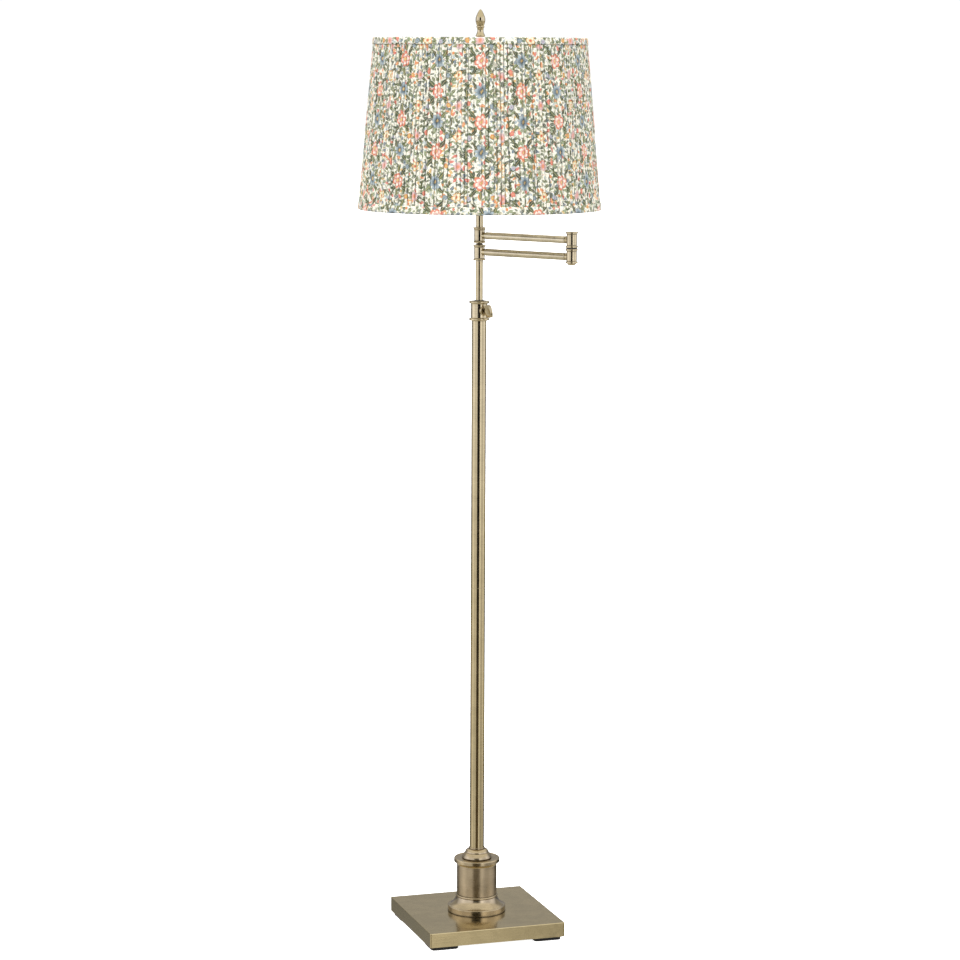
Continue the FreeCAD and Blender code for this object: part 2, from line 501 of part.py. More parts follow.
def harp_half():
    """Points and arcs of the right half of the bow, from the foot to the top centre, each arc tangent to its runs."""
    foot_z = sz + leg_h + 1.0
    x, z = HARP_X, foot_z
    items = [("line", (x, z), (x, z + 14.0))]
    z += 14.0

    def arc(x, z, r, h0, h1):
        """Arc of radius r from heading h0 to h1 in degrees. A growing heading turns left."""
        turn = 1 if h1 > h0 else -1
        a0, a1, am = [math.radians(h - 90 * turn) for h in (h0, h1, (h0 + h1) / 2)]
        cx, cz = x - r * math.cos(a0), z - r * math.sin(a0)
        e = (cx + r * math.cos(a1), cz + r * math.sin(a1))
        m = (cx + r * math.cos(am), cz + r * math.sin(am))
        return ("arc", (x, z), m, e), e

    def line(x, z, h, length):
        e = (x + length * math.cos(math.radians(h)), z + length * math.sin(math.radians(h)))
        return ("line", (x, z), e), e

    it, (x, z) = arc(x, z, 25.0, 90, 56)
    items.append(it)
    it, (x, z) = line(x, z, 56, 10.0)
    items.append(it)
    it, (x, z) = arc(x, z, 110.0, 56, 105)
    items.append(it)
    # the run's length and the last arc's radius bring the bow to the top centre
    c, s = math.cos(math.radians(105)), math.sin(math.radians(105))
    run = (HARP_TOP_Z - z - (1 + c) / s * (x - 7.0)) / (s + (1 + c) / s * c)
    it, (x, z) = line(x, z, 105, run)
    items.append(it)
    r3 = (x - 7.0) / s
    it, (x, z) = arc(x, z, r3, 105, 180)
    items.append(it)
    items.append(("line", (x, z), (0.0, z)))
    return items


half = harp_half()
full = []
for it in half:
    full.append([(p[0], p[1]) for p in it[1:]])
for it in reversed(half):
    full.append([(-p[0], p[1]) for p in reversed(it[1:])])
edges = []
length = 0.0
for pts in full:
    vs = [V(p[0], 0, p[1]) for p in pts]
    e = (Part.LineSegment(vs[0], vs[1]) if len(vs) == 2 else Part.Arc(vs[0], vs[1], vs[2])).toShape()
    edges.append(e)
    length += e.Length
path = Part.Wire(edges)
section = Part.Wire([Part.Circle(V(HARP_X, 0, full[0][0][1]), Z, HARP_WIRE_R).toShape()])
bow = path.makePipeShell([section], True, False)
print("harp wire length %.1f volume ratio %.4f" % (length, bow.Volume / (math.pi * HARP_WIRE_R ** 2 * length)))
bow = bow.Solids[0] if bow.Solids else Part.Solid(bow)
save("harp_bow", bow)

sleeves = []
for s in (-1, 1):
    # each sleeve slides down over the joint of the bow's foot and the saddle's leg
    zj = sz + leg_h
    t = turned([(5.3, zj - 9.0), (5.8, zj - 9.0), (6.1, zj - 8.6), (6.1, zj + 8.2), (5.4, zj + 9.0, 5.9, zj + 8.8),
                (HARP_WIRE_R + 0.02, zj + 9.0), (HARP_WIRE_R + 0.02, zj + 0.1), (5.3, zj + 0.1)])
    sleeves.append(placed(t, 0, (s * HARP_X, 0, 0)))
save("harp_sleeves", Part.makeCompound(sleeves))
top_z = HARP_TOP_Z + HARP_WIRE_R
hs = turned([(0, HARP_TOP_Z - 3.4), (5.4, HARP_TOP_Z - 3.4), (6.0, HARP_TOP_Z - 2.8), (6.0, SPIDER_Z - 0.6),
             (5.4, SPIDER_Z), (3.1, SPIDER_Z), (3.1, SPIDER_Z + 13.0), (2.6, SPIDER_Z + 13.5), (0, SPIDER_Z + 13.5)])
hs = single(hs.cut(rod(HARP_WIRE_R + 0.02, V(-20, 0, HARP_TOP_Z), V(1, 0, 0), 40)))
save("harp_top_stud", hs)

# ---------------------------------------------------------------- socket, switch and bulb
s0 = sz + SAD_T
cap_s = turned([(4.87, s0), (8.0, s0), (10.0, s0 + 1.0), (15.2, s0 + 7.0, 13.6, s0 + 3.0), (16.4, s0 + 9.0),
                (16.4, s0 + 15.0), (15.6, s0 + 15.0), (15.6, s0 + 9.4), (14.4, s0 + 7.6),
                (9.6, s0 + 2.0, 12.8, s0 + 4.0), (4.87, s0 + 2.0)])
save("socket_cap", cap_s)
SW_Z = s0 + 24.0
sock_shell = turned([(16.42, s0 + 11.0), (17.2, s0 + 11.0), (17.2, s0 + 14.5), (17.6, s0 + 15.3, 17.5, s0 + 14.8),
                     (17.2, s0 + 16.1, 17.5, s0 + 15.8), (17.2, s0 + 52.0), (17.9, s0 + 53.2, 17.7, s0 + 52.4),
                     (17.0, s0 + 54.0, 17.65, s0 + 53.9), (16.42, s0 + 53.4)])
sock_shell = single(sock_shell.cut(rod(3.4, V(0, 0, SW_Z), V(0, -1, 0), 30)))
save("socket_shell", sock_shell)
body_s = turned([(0, s0 + 16.0), (15.2, s0 + 16.0), (15.2, s0 + 27.5), (15.6, s0 + 27.5), (15.6, s0 + 52.0),
                 (14.4, s0 + 52.0), (14.4, s0 + 29.5), (0, s0 + 29.5)])
body_s = single(body_s.cut(rod(2.4, V(0, 0, SW_Z), V(0, -1, 0), 30)))
save("socket_body", body_s)
save("socket_screw_shell", ring(14.38, 13.5, s0 + 29.6, s0 + 51.0))

knob = turned([(0, 0), (2.3, 0), (2.3, 15.6), (4.4, 15.6), (5.2, 16.4, 4.97, 15.83), (5.2, 23.6), (4.2, 24.6, 4.91, 24.31),
               (0, 24.6)])
for i in range(12):
    a = math.radians(30 * i)
    knob = knob.cut(Part.makeCylinder(0.55, 7.0, V(5.35 * math.cos(a), 5.35 * math.sin(a), 16.8)))
knob = single(knob)
knob.rotate(V(0, 0, 0), V(1, 0, 0), 90)          # along -Y
knob.translate(V(0, -2.0, SW_Z))
save("switch_knob", knob)

b0 = s0 + 30.2
base_pts = [(0, b0), (4.6, b0 + 0.3, 2.6, b0 + 0.05), (5.4, b0 + 1.4), (11.6, b0 + 4.0), (13.2, b0 + 5.4)]
zz = b0 + 5.4
for i in range(5):
    base_pts += [(13.4, zz + 1.5, 13.0 if i % 2 else 13.45, zz + 0.8), (13.0, zz + 3.0, 13.1, zz + 2.4)]
    zz += 3.0
base_pts += [(13.0, b0 + 24.0), (12.2, b0 + 24.0), (12.2, b0 + 6.4), (0, b0 + 6.4)]
save("bulb_base", turned(base_pts))
g0 = b0 + 21.6
envelope = [(12.1, g0), (12.1, g0 + 2.6), (13.2, g0 + 4.6), (17.2, g0 + 18.0, 14.3, g0 + 11.0),
            (29.6, g0 + 46.0, 24.6, g0 + 32.0), (1.0, g0 + 84.0, 23.2, g0 + 74.2)]
inside = [(0, g0 + 84.0), (0, g0 + 83.2), (1.0, g0 + 83.2), (28.8, g0 + 46.0, 22.6, g0 + 73.6),
          (16.5, g0 + 18.3, 23.9, g0 + 32.5), (12.5, g0 + 4.9, 13.7, g0 + 11.4), (11.4, g0 + 3.0), (11.4, g0)]
save("bulb_glass", turned(envelope + inside))

# ---------------------------------------------------------------- finial
F0 = SPIDER_Z + 1.65
finial = turned([(0, F0 + 13.0), (3.15, F0 + 12.5), (3.15, F0), (7.4, F0), (8.0, F0 + 0.7, 7.83, F0 + 0.2), (8.0, F0 + 2.2),
                 (7.2, F0 + 3.0), [(6.3, F0 + 5.2), (6.1, F0 + 8.0), (6.5, F0 + 11.0), (7.5, F0 + 14.0)],
                 (7.6, 1532.6, 8.15, 1531.9),
                 [(6.7, 1534.9), (5.8, 1537.2), (5.15, 1540.2), (5.35, 1543.0), (5.8, 1545.2)],
                 (6.3, 1545.6), (6.3, 1547.9, 6.75, 1546.8), (5.8, 1548.2),
                 [(7.4, 1553.0), (8.15, 1558.8), (7.7, 1562.4), (6.5, 1565.7), (5.15, 1568.8), (3.8, 1571.5), (2.2, 1574.0),
                  (0.6, FINIAL_TOP_Z)],
                 (0, FINIAL_TOP_Z)])
save("finial", finial)

# ---------------------------------------------------------------- shade
SLOPE = (SHADE_BOT_R - SHADE_TOP_R) / (SHADE_TOP_Z - SHADE_BOT_Z)


def shade_r(z):
    return SHADE_TOP_R + SLOPE * (SHADE_TOP_Z - z)


def cone_shell(out_off, in_off, z0, z1, soft=0.0):
    a0, a1 = shade_r(z0), shade_r(z1)
    if soft:
        k = soft * 0.29289
        return turned([(a0 - in_off, z0), (a0 - out_off - soft, z0), (shade_r(z0 + soft) - out_off, z0 + soft, a0 - out_off - k, z0 + k),
                       (shade_r(z1 - soft) - out_off, z1 - soft), (a1 - out_off - soft, z1, a1 - out_off - k, z1 - k),
                       (a1 - in_off, z1)])
    return turned([(a0 - in_off, z0), (a0 - out_off, z0), (a1 - out_off, z1), (a1 - in_off, z1)])


save("shade_cover", cone_shell(0.0, SHADE_COVER_T, SHADE_BOT_Z, SHADE_TOP_Z, 1.2))
LIN = SHADE_COVER_T + SHADE_LINER_T
save("shade_liner", cone_shell(SHADE_COVER_T, LIN, SHADE_BOT_Z + 0.4, SHADE_TOP_Z - 0.4))
WIRE = 1.6
TOP_RING_Z = SHADE_TOP_Z - 2.6
BOT_RING_Z = SHADE_BOT_Z + 2.6
top_ring_r = shade_r(TOP_RING_Z) - LIN - WIRE - 0.15
bot_ring_r = shade_r(BOT_RING_Z) - LIN - WIRE - 0.15
save("shade_bottom_ring", Part.makeTorus(bot_ring_r, WIRE, V(0, 0, BOT_RING_Z)))
spider = Part.makeTorus(top_ring_r, WIRE, V(0, 0, TOP_RING_Z))
hub_z = SPIDER_Z + 0.8
for a in (90, 210, 330):
    u = V(math.cos(math.radians(a)), math.sin(math.radians(a)), 0)
    # each spoke drops from the ring, turns in and runs level to the hub
    p_ring = u * top_ring_r + V(0, 0, TOP_RING_Z)
    p_low = u * (top_ring_r - 14.0) + V(0, 0, hub_z)
    p_hub = u * 10.0 + V(0, 0, hub_z)
    d1 = p_low - p_ring
    spider = spider.fuse(rod(WIRE - 0.1, p_ring, d1, d1.Length))
    spider = spider.fuse(Part.makeSphere(WIRE - 0.1, p_low))
    d2 = p_hub - p_low
    spider = spider.fuse(rod(WIRE - 0.1, p_low, d2, d2.Length))
hub = ring(13.5, 3.4, SPIDER_Z + 0.02, SPIDER_Z + 1.62, 0.3)
core = Part.makeCylinder(8.6, 8, V(0, 0, SPIDER_Z - 4))
spider = single(spider.cut(core).fuse(hub))
save("shade_top_ring_spider", spider)

print(len(NODES), "nodes")
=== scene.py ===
import json
import math

import bpy
import numpy as np
from mathutils import Matrix, Vector


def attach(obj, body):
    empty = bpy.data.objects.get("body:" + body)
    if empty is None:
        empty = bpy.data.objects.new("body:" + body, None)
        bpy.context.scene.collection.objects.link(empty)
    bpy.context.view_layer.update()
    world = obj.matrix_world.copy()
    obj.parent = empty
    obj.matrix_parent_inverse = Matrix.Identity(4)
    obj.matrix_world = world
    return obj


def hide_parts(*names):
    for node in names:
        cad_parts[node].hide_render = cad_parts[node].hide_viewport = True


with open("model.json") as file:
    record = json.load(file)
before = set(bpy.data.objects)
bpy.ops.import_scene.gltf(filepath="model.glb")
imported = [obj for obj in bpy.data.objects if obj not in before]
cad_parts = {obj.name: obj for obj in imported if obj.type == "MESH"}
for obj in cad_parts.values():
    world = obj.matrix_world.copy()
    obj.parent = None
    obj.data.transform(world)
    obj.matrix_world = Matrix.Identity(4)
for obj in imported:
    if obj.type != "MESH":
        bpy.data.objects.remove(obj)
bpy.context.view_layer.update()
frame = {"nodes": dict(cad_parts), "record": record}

NODES = frame["nodes"]
scene = bpy.context.scene

# Sizes in metres, in the object's own frame.
SHADE_Z1, SHADE_Z0 = 1.5311, 1.2457
SHADE_R1, SHADE_R0 = 0.1788, 0.2048
ARM_AZ = math.radians(-56.7)


# ------------------------------------------------------------------ camera
def look():
    yaw, pitch, roll = math.radians(0.0304), math.radians(8.035), math.radians(0.2562)
    turn = Matrix.Rotation(math.radians(-17.84), 3, "Z")
    fwd = Vector((math.sin(yaw) * math.cos(pitch), math.cos(yaw) * math.cos(pitch), -math.sin(pitch)))
    right = Vector((math.cos(yaw), -math.sin(yaw), 0))
    up = right.cross(fwd)
    r = right * math.cos(roll) + up * math.sin(roll)
    u = up * math.cos(roll) - right * math.sin(roll)
    r, u, f = turn @ r, turn @ u, turn @ fwd
    cam = bpy.data.objects.new("camera", bpy.data.cameras.new("camera"))
    scene.collection.objects.link(cam)
    cam.data.sensor_width = 36.0
    cam.data.lens = 36.0 * 3003.3 / 960.0
    cam.data.clip_start, cam.data.clip_end = 0.1, 200.0
    place = turn @ Vector((0, -5.069, 1.5008))
    m = Matrix.Identity(4)
    for i in range(3):
        m[i][0], m[i][1], m[i][2], m[i][3] = r[i], u[i], -f[i], place[i]
    cam.matrix_world = m
    scene.camera = cam
    return place


CAM = look()
FRONT = Vector((CAM.x, CAM.y, 0)).normalized()     # level direction from the lamp to the viewer
SIDE = Vector((-FRONT.y, FRONT.x, 0))               # to the viewer's right


# ------------------------------------------------------------------ node helpers
class Tree:
    def __init__(self, tree):
        self.t = tree

    def n(self, kind, ins=None, **props):
        node = self.t.nodes.new("ShaderNode" + kind)
        for k, v in props.items():
            setattr(node, k, v)
        for k, v in (ins or {}).items():
            self.put(node.inputs[k], v)
        return node

    def put(self, socket, v):
        if isinstance(v, bpy.types.NodeSocket):
            self.t.links.new(v, socket)
        elif isinstance(v, bpy.types.Node):
            self.t.links.new(v.outputs[0], socket)
        else:
            socket.default_value = v

    def m(self, op, a, b=0.0, c=0.0, clamp=False):
        node = self.n("Math", operation=op, use_clamp=clamp)
        for i, v in enumerate((a, b, c)):
            if i < len(node.inputs):
                self.put(node.inputs[i], v)
        return node.outputs[0]

    def vm(self, op, a, b=None, scale=None):
        node = self.n("VectorMath", operation=op)
        self.put(node.inputs[0], a)
        if b is not None:
            self.put(node.inputs[1], b)
        if scale is not None:
            self.put(node.inputs["Scale"], scale)
        return node.outputs["Value"] if op in ("LENGTH", "DOT_PRODUCT", "DISTANCE") else node.outputs[0]

    def mix(self, fac, a, b, mode="MIX"):
        node = self.n("Mix", data_type="RGBA", blend_type=mode)
        self.put(node.inputs[0], fac)
        self.put(node.inputs[6], a)
        self.put(node.inputs[7], b)
        return node.outputs[2]

    def mapr(self, v, a, b, c, d, smooth=False):
        node = self.n("MapRange", interpolation_type="SMOOTHSTEP" if smooth else "LINEAR")
        for i, x in enumerate((v, a, b, c, d)):
            self.put(node.inputs[i], x)
        return node.outputs[0]

    def noise(self, vec, scale, detail=2.0, rough=0.5, distort=0.0, dims="3D"):
        return self.n("TexNoise", {"Vector": vec, "Scale": scale, "Detail": detail, "Roughness": rough, "Distortion": distort},
                      noise_dimensions=dims).outputs["Fac"]

    def xyz(self, v):
        return self.n("SeparateXYZ", {0: v}).outputs

    def join(self, x, y, z=0.0):
        return self.n("CombineXYZ", {0: x, 1: y, 2: z}).outputs[0]

    def ramp(self, fac, stops, mode="LINEAR"):
        node = self.n("ValToRGB", {0: fac})
        node.color_ramp.interpolation = mode
        els = node.color_ramp.elements
        while len(els) < len(stops):
            els.new(0.5)
        for e, (pos, col) in zip(els, stops):
            e.position = pos
            e.color = (*col, 1.0) if len(col) == 3 else col
        return node.outputs[0]


def rgb(r, g, b):
    """Linear colour from display values 0 to 255."""
    f = lambda c: c / 12.92 if c <= 0.04045 else ((c + 0.055) / 1.055) ** 2.4
    return tuple(f(c / 255.0) for c in (r, g, b)) + (1.0,)


def material(name):
    mat = bpy.data.materials.new(name)
    mat.use_nodes = True
    t = Tree(mat.node_tree)
    mat.node_tree.nodes.clear()
    out = t.n("OutputMaterial")
    bsdf = t.n("BsdfPrincipled")
    t.t.links.new(bsdf.outputs[0], out.inputs[0])
    return mat, t, bsdf


# ------------------------------------------------------------------ metals
def brass(name, base, rough=0.24, brush=(60, 60, 2600), turn=0.0, aniso=0.0, aniso_rot=0.25, patina=(0.050, 0.040, 0.024, 1),
          patina_amount=0.42, mottle=0.10, bump=0.5, ao=0.0032):
    """Antique plate: brushed streaks, a soft mottled tone, dark patina where faces meet and paler worn edges."""
    mat, t, b = material(name)
    co = t.n("TexCoord").outputs["Object"]
    if turn:
        co = t.n("Mapping", {"Vector": co, "Rotation": (0, 0, -turn)}, vector_type="POINT").outputs[0]
    brushed = t.vm("MULTIPLY", co, brush)
    streak = t.noise(brushed, 1.0, 3.0, 0.62)
    fine = t.noise(t.vm("SCALE", brushed, scale=2.7), 1.0, 2.0, 0.6)
    cloud = t.noise(co, 34.0, 4.0, 0.55, 0.4)
    spots = t.noise(co, 420.0, 2.0, 0.6)
    tone = t.mix(t.mapr(cloud, 0.36, 0.64, 0.0, 1.0, True), tuple(c * (1 - mottle) for c in base[:3]) + (1,),
                 tuple(min(1, c * (1 + mottle)) for c in base[:3]) + (1,))
    tone = t.mix(t.mapr(streak, 0.40, 0.74, 0.0, 0.42), tone, tuple(c * 0.62 for c in base[:3]) + (1,))
    tone = t.mix(t.mapr(fine, 0.58, 0.80, 0.0, 0.30), tone, tuple(min(1, c * 1.25) for c in base[:3]) + (1,))
    tone = t.mix(t.mapr(spots, 0.70, 0.80, 0.0, 0.35), tone, patina)
    occ = t.n("AmbientOcclusion", {"Distance": ao}, samples=4, only_local=False).outputs["AO"]
    tone = t.mix(t.m("MULTIPLY", t.mapr(occ, 0.35, 0.93, 1.0, 0.0, True), patina_amount), tone, patina)
    edge = t.n("AmbientOcclusion", {"Distance": 0.0009}, samples=4, inside=True, only_local=True).outputs["AO"]
    worn = t.mapr(edge, 0.45, 0.80, 0.55, 0.0, True)
    tone = t.mix(worn, tone, tuple(min(1, c * 1.35 + 0.02) for c in base[:3]) + (1,))
    t.put(b.inputs["Base Color"], tone)
    b.inputs["Metallic"].default_value = 1.0
    r = t.m("ADD", t.mapr(streak, 0.3, 0.7, rough - 0.05, rough + 0.07), t.mapr(cloud, 0.3, 0.7, -0.02, 0.04))
    t.put(b.inputs["Roughness"], t.m("ADD", r, t.mapr(occ, 0.4, 0.95, 0.12, 0.0)))
    b.inputs["Anisotropic"].default_value = aniso
    b.inputs["Anisotropic Rotation"].default_value = aniso_rot
    h = t.m("ADD", t.m("MULTIPLY", streak, 0.6), t.m("MULTIPLY", fine, 0.4))
    bm = t.n("Bump", {"Strength": bump, "Distance": 0.00003, "Height": h})
    t.put(b.inputs["Normal"], bm.outputs[0])
    return mat


BRASS = (0.560, 0.462, 0.268, 1)
M = {}
M["plated_tube"] = brass("antique_plate_tube", BRASS, 0.12, (60, 60, 2600), aniso=0.55, aniso_rot=0.25, mottle=0.05, bump=0.3)
M["arm_tube"] = brass("antique_plate_arm", (0.600, 0.520, 0.350, 1), 0.27, (22, 2400, 2400), turn=ARM_AZ, mottle=0.08, bump=0.8)
# the upper arm's tube is the same plating as the lower one, made paler: painted light standing in for its brighter
# reflections
M["arm_tube_upper_lit"] = brass("antique_plate_arm_upper_lit", (0.720, 0.635, 0.450, 1), 0.27, (22, 2400, 2400), turn=ARM_AZ, mottle=0.08, bump=0.8)
M["sleeve"] = brass("antique_plate_sleeve", (0.425, 0.338, 0.208, 1), 0.30, (50, 50, 1700), aniso=0.6, aniso_rot=0.25, mottle=0.12, bump=0.9)
M["base"] = brass("antique_plate_base", (0.560, 0.460, 0.255, 1), 0.13, (16, 2200, 2200), mottle=0.05, bump=0.25, ao=0.003, patina_amount=0.6)
M["turned_brass"] = brass("antique_brass_turned", (0.565, 0.470, 0.285, 1), 0.14, (60, 60, 1500), aniso=0.35, mottle=0.10, bump=0.4)
M["turned_foot"] = brass("antique_brass_foot", (0.470, 0.378, 0.232, 1), 0.19, (60, 60, 1500), aniso=0.35, mottle=0.12, bump=0.5, patina_amount=0.72, ao=0.0048)
M["harp_plate"] = brass("antique_plate_harp", BRASS, 0.28, (500, 500, 500), mottle=0.10, bump=0.5)
M["socket_brass"] = brass("antique_brass_socket", BRASS, 0.30, (60, 60, 1400), mottle=0.10, bump=0.5)


def plain_metal():
    mat, t, b = material("zinc_plate")
    co = t.n("TexCoord").outputs["Object"]
    v = t.n("TexVoronoi", {"Vector": co, "Scale": 260.0, "Randomness": 1.0}, feature="F1")
    n = t.noise(co, 90.0, 4.0, 0.6)
    c = t.mix(t.mapr(n, 0.35, 0.65, 0, 1), (0.50, 0.49, 0.46, 1), (0.68, 0.67, 0.64, 1))
    c = t.mix(t.m("MULTIPLY", t.xyz(v.outputs["Color"])[0], 0.16), c, (0.44, 0.44, 0.45, 1))
    t.put(b.inputs["Base Color"], c)
    b.inputs["Metallic"].default_value = 1.0
    t.put(b.inputs["Roughness"], t.mapr(n, 0.3, 0.7, 0.28, 0.44))
    t.put(b.inputs["Normal"], t.n("Bump", {"Strength": 0.4, "Distance": 0.00005, "Height": n}).outputs[0])
    return mat


def grainy(name, low, high, rough, scale=900.0, depth=0.00008, strength=0.5, coat=0.0, spec=0.5):
    """Moulded or cast surface: fine grain in the bump, a soft change of tone, roughness that follows both."""
    mat, t, b = material(name)
    co = t.n("TexCoord").outputs["Object"]
    fine = t.noise(co, scale, 4.0, 0.6)
    big = t.noise(co, 28.0, 3.0, 0.5, 0.3)
    f = t.m("ADD", t.m("MULTIPLY", fine, 0.5), t.m("MULTIPLY", big, 0.5))
    t.put(b.inputs["Base Color"], t.mix(t.mapr(f, 0.36, 0.64, 0, 1, True), low, high))
    t.put(b.inputs["Roughness"], t.mapr(f, 0.3, 0.7, rough - 0.06, rough + 0.06))
    b.inputs["Coat Weight"].default_value = coat
    b.inputs["Specular IOR Level"].default_value = spec
    t.put(b.inputs["Normal"], t.n("Bump", {"Strength": strength, "Distance": depth, "Height": fine}).outputs[0])
    return mat


def bulb_mat():
    mat, t, b = material("frosted_glass")
    co = t.n("TexCoord").outputs["Object"]
    fine = t.noise(co, 1400.0, 2.0, 0.5)
    z = t.xyz(co)[2]
    frost = t.mapr(z, 1.3405, 1.3585, 0.0, 1.0, True)
    t.put(b.inputs["Base Color"], t.mix(frost, (0.70, 0.70, 0.68, 1), (0.93, 0.93, 0.91, 1)))
    t.put(b.inputs["Roughness"], t.mapr(fine, 0.3, 0.7, 0.30, 0.42))
    b.inputs["Transmission Weight"].default_value = 0.25
    b.inputs["Subsurface Weight"].default_value = 0.0
    t.put(b.inputs["Normal"], t.n("Bump", {"Strength": 0.25, "Distance": 0.00003, "Height": fine}).outputs[0])
    return mat


M["inner_steel"] = plain_metal()
M["weight_iron"] = grainy("cast_iron", (0.035, 0.035, 0.035, 1), (0.09, 0.088, 0.085, 1), 0.72, 700.0, 0.0003, 0.8)
M["pad_rubber"] = grainy("pad_rubber", (0.006, 0.006, 0.006, 1), (0.022, 0.021, 0.020, 1), 0.72, 1500.0, 0.0001, 0.6, spec=0.3)
M["black_nylon"] = grainy("black_nylon", (0.012, 0.011, 0.010, 1), (0.030, 0.028, 0.026, 1), 0.48, 1800.0, 0.00005, 0.4)
M["socket_core"] = grainy("cream_porcelain", (0.66, 0.62, 0.52, 1), (0.76, 0.73, 0.64, 1), 0.30, 600.0, 0.00004, 0.3, coat=0.5)
M["knob_plastic"] = grainy("black_gloss_plastic", (0.010, 0.008, 0.007, 1), (0.020, 0.016, 0.014, 1), 0.20, 1200.0, 0.00003, 0.3, coat=0.3)
M["bulb_metal"] = grainy("bulb_cap_metal", (0.60, 0.60, 0.59, 1), (0.74, 0.74, 0.73, 1), 0.32, 900.0, 0.00004, 0.4)
M["bulb_metal"].node_tree.nodes["Principled BSDF"].inputs["Metallic"].default_value = 1.0
M["bulb_envelope"] = bulb_mat()
M["shade_wire"] = grainy("white_painted_wire", (0.62, 0.60, 0.55, 1), (0.74, 0.72, 0.67, 1), 0.38, 500.0, 0.00012, 0.5)


def lining():
    """Stiff white lining: a laminate with a faint woven face."""
    mat, t, b = material("white_laminate")
    co = t.n("TexCoord").outputs["Object"]
    p = t.xyz(co)
    ang = t.m("MULTIPLY", t.m("ARCTAN2", p[1], p[0]), 0.19)
    flat = t.join(ang, p[2])
    wu = t.n("TexWave", {"Vector": flat, "Scale": 560.0, "Distortion": 0.6, "Detail": 1.0}, wave_type="BANDS", bands_direction="X").outputs["Fac"]
    wv = t.n("TexWave", {"Vector": flat, "Scale": 560.0, "Distortion": 0.6, "Detail": 1.0}, wave_type="BANDS", bands_direction="Y").outputs["Fac"]
    n = t.noise(co, 40.0, 4.0, 0.6)
    h = t.m("ADD", t.m("MULTIPLY", wu, 0.5), t.m("MULTIPLY", wv, 0.5))
    c = t.mix(t.mapr(n, 0.35, 0.65, 0, 1), (0.74, 0.71, 0.63, 1), (0.83, 0.81, 0.75, 1))
    t.put(b.inputs["Base Color"], t.mix(t.mapr(h, 0.0, 1.0, 0.10, 0.0), c, (0.60, 0.57, 0.49, 1)))
    t.put(b.inputs["Roughness"], t.mapr(n, 0.3, 0.7, 0.52, 0.66))
    t.put(b.inputs["Normal"], t.n("Bump", {"Strength": 0.35, "Distance": 0.00006, "Height": h}).outputs[0])
    return mat


M["shade_lining"] = lining()

# ------------------------------------------------------------------ printed cloth
TX, TY = 0.086, 0.098        # repeat of the print, half-drop


def group(name, ins, outs):
    g = bpy.data.node_groups.new(name, "ShaderNodeTree")
    for n, kind, default in ins:
        s = g.interface.new_socket(n, in_out="INPUT", socket_type="NodeSocket" + kind)
        if default is not None:
            s.default_value = default
    for n, kind in outs:
        g.interface.new_socket(n, in_out="OUTPUT", socket_type="NodeSocket" + kind)
    t = Tree(g)
    gi, go = g.nodes.new("NodeGroupInput"), g.nodes.new("NodeGroupOutput")
    return g, t, gi.outputs, go.inputs


def make_local():
    """Place on the cloth -> place relative to the nearest repeat of a motif, turned by the given angle."""
    g, t, i, o = group("motif_place", [("P", "Vector", None), ("X", "Float", 0.0), ("Y", "Float", 0.0), ("Turn", "Float", 0.0)],
                       [("X", "Float"), ("Y", "Float")])
    p = t.xyz(i["P"])
    s = t.m("DIVIDE", t.m("SUBTRACT", p[0], i["X"]), TX)
    q = t.m("SUBTRACT", t.m("DIVIDE", t.m("SUBTRACT", p[1], i["Y"]), TY), t.m("MULTIPLY", s, 0.5))
    s = t.m("WRAP", s, 0.5, -0.5)
    q = t.m("WRAP", q, 0.5, -0.5)
    x = t.m("MULTIPLY", s, TX)
    y = t.m("MULTIPLY", t.m("ADD", q, t.m("MULTIPLY", s, 0.5)), TY)
    c, sn = t.m("COSINE", i["Turn"]), t.m("SINE", i["Turn"])
    t.put(o["X"], t.m("ADD", t.m("MULTIPLY", x, c), t.m("MULTIPLY", y, sn)))
    t.put(o["Y"], t.m("SUBTRACT", t.m("MULTIPLY", y, c), t.m("MULTIPLY", x, sn)))
    return g


def make_bloom():
    """A round bloom: mask, how far out it is from 0 to 1, and a value that is low on the lines between petals."""
    g, t, i, o = group("motif_bloom", [("X", "Float", 0.0), ("Y", "Float", 0.0), ("R", "Float", 0.01), ("Petals", "Float", 5.0),
                                       ("Notch", "Float", 0.3)],
                       [("Mask", "Float"), ("Out", "Float"), ("Petal", "Float")])
    r = t.m("SQRT", t.m("ADD", t.m("MULTIPLY", i["X"], i["X"]), t.m("MULTIPLY", i["Y"], i["Y"])))
    a = t.m("ARCTAN2", i["Y"], i["X"])
    petal = t.m("ABSOLUTE", t.m("COSINE", t.m("MULTIPLY", t.m("MULTIPLY", a, i["Petals"]), 0.5)))
    rim = t.m("MULTIPLY", i["R"], t.m("SUBTRACT", 1.0, t.m("MULTIPLY", i["Notch"], t.m("POWER", t.m("SUBTRACT", 1.0, petal), 1.6))))
    t.put(o["Mask"], t.mapr(t.m("SUBTRACT", rim, r), -0.00012, 0.00022, 0.0, 1.0))
    t.put(o["Out"], t.m("DIVIDE", r, t.m("MAXIMUM", rim, 0.0001)))
    t.put(o["Petal"], petal)
    return g


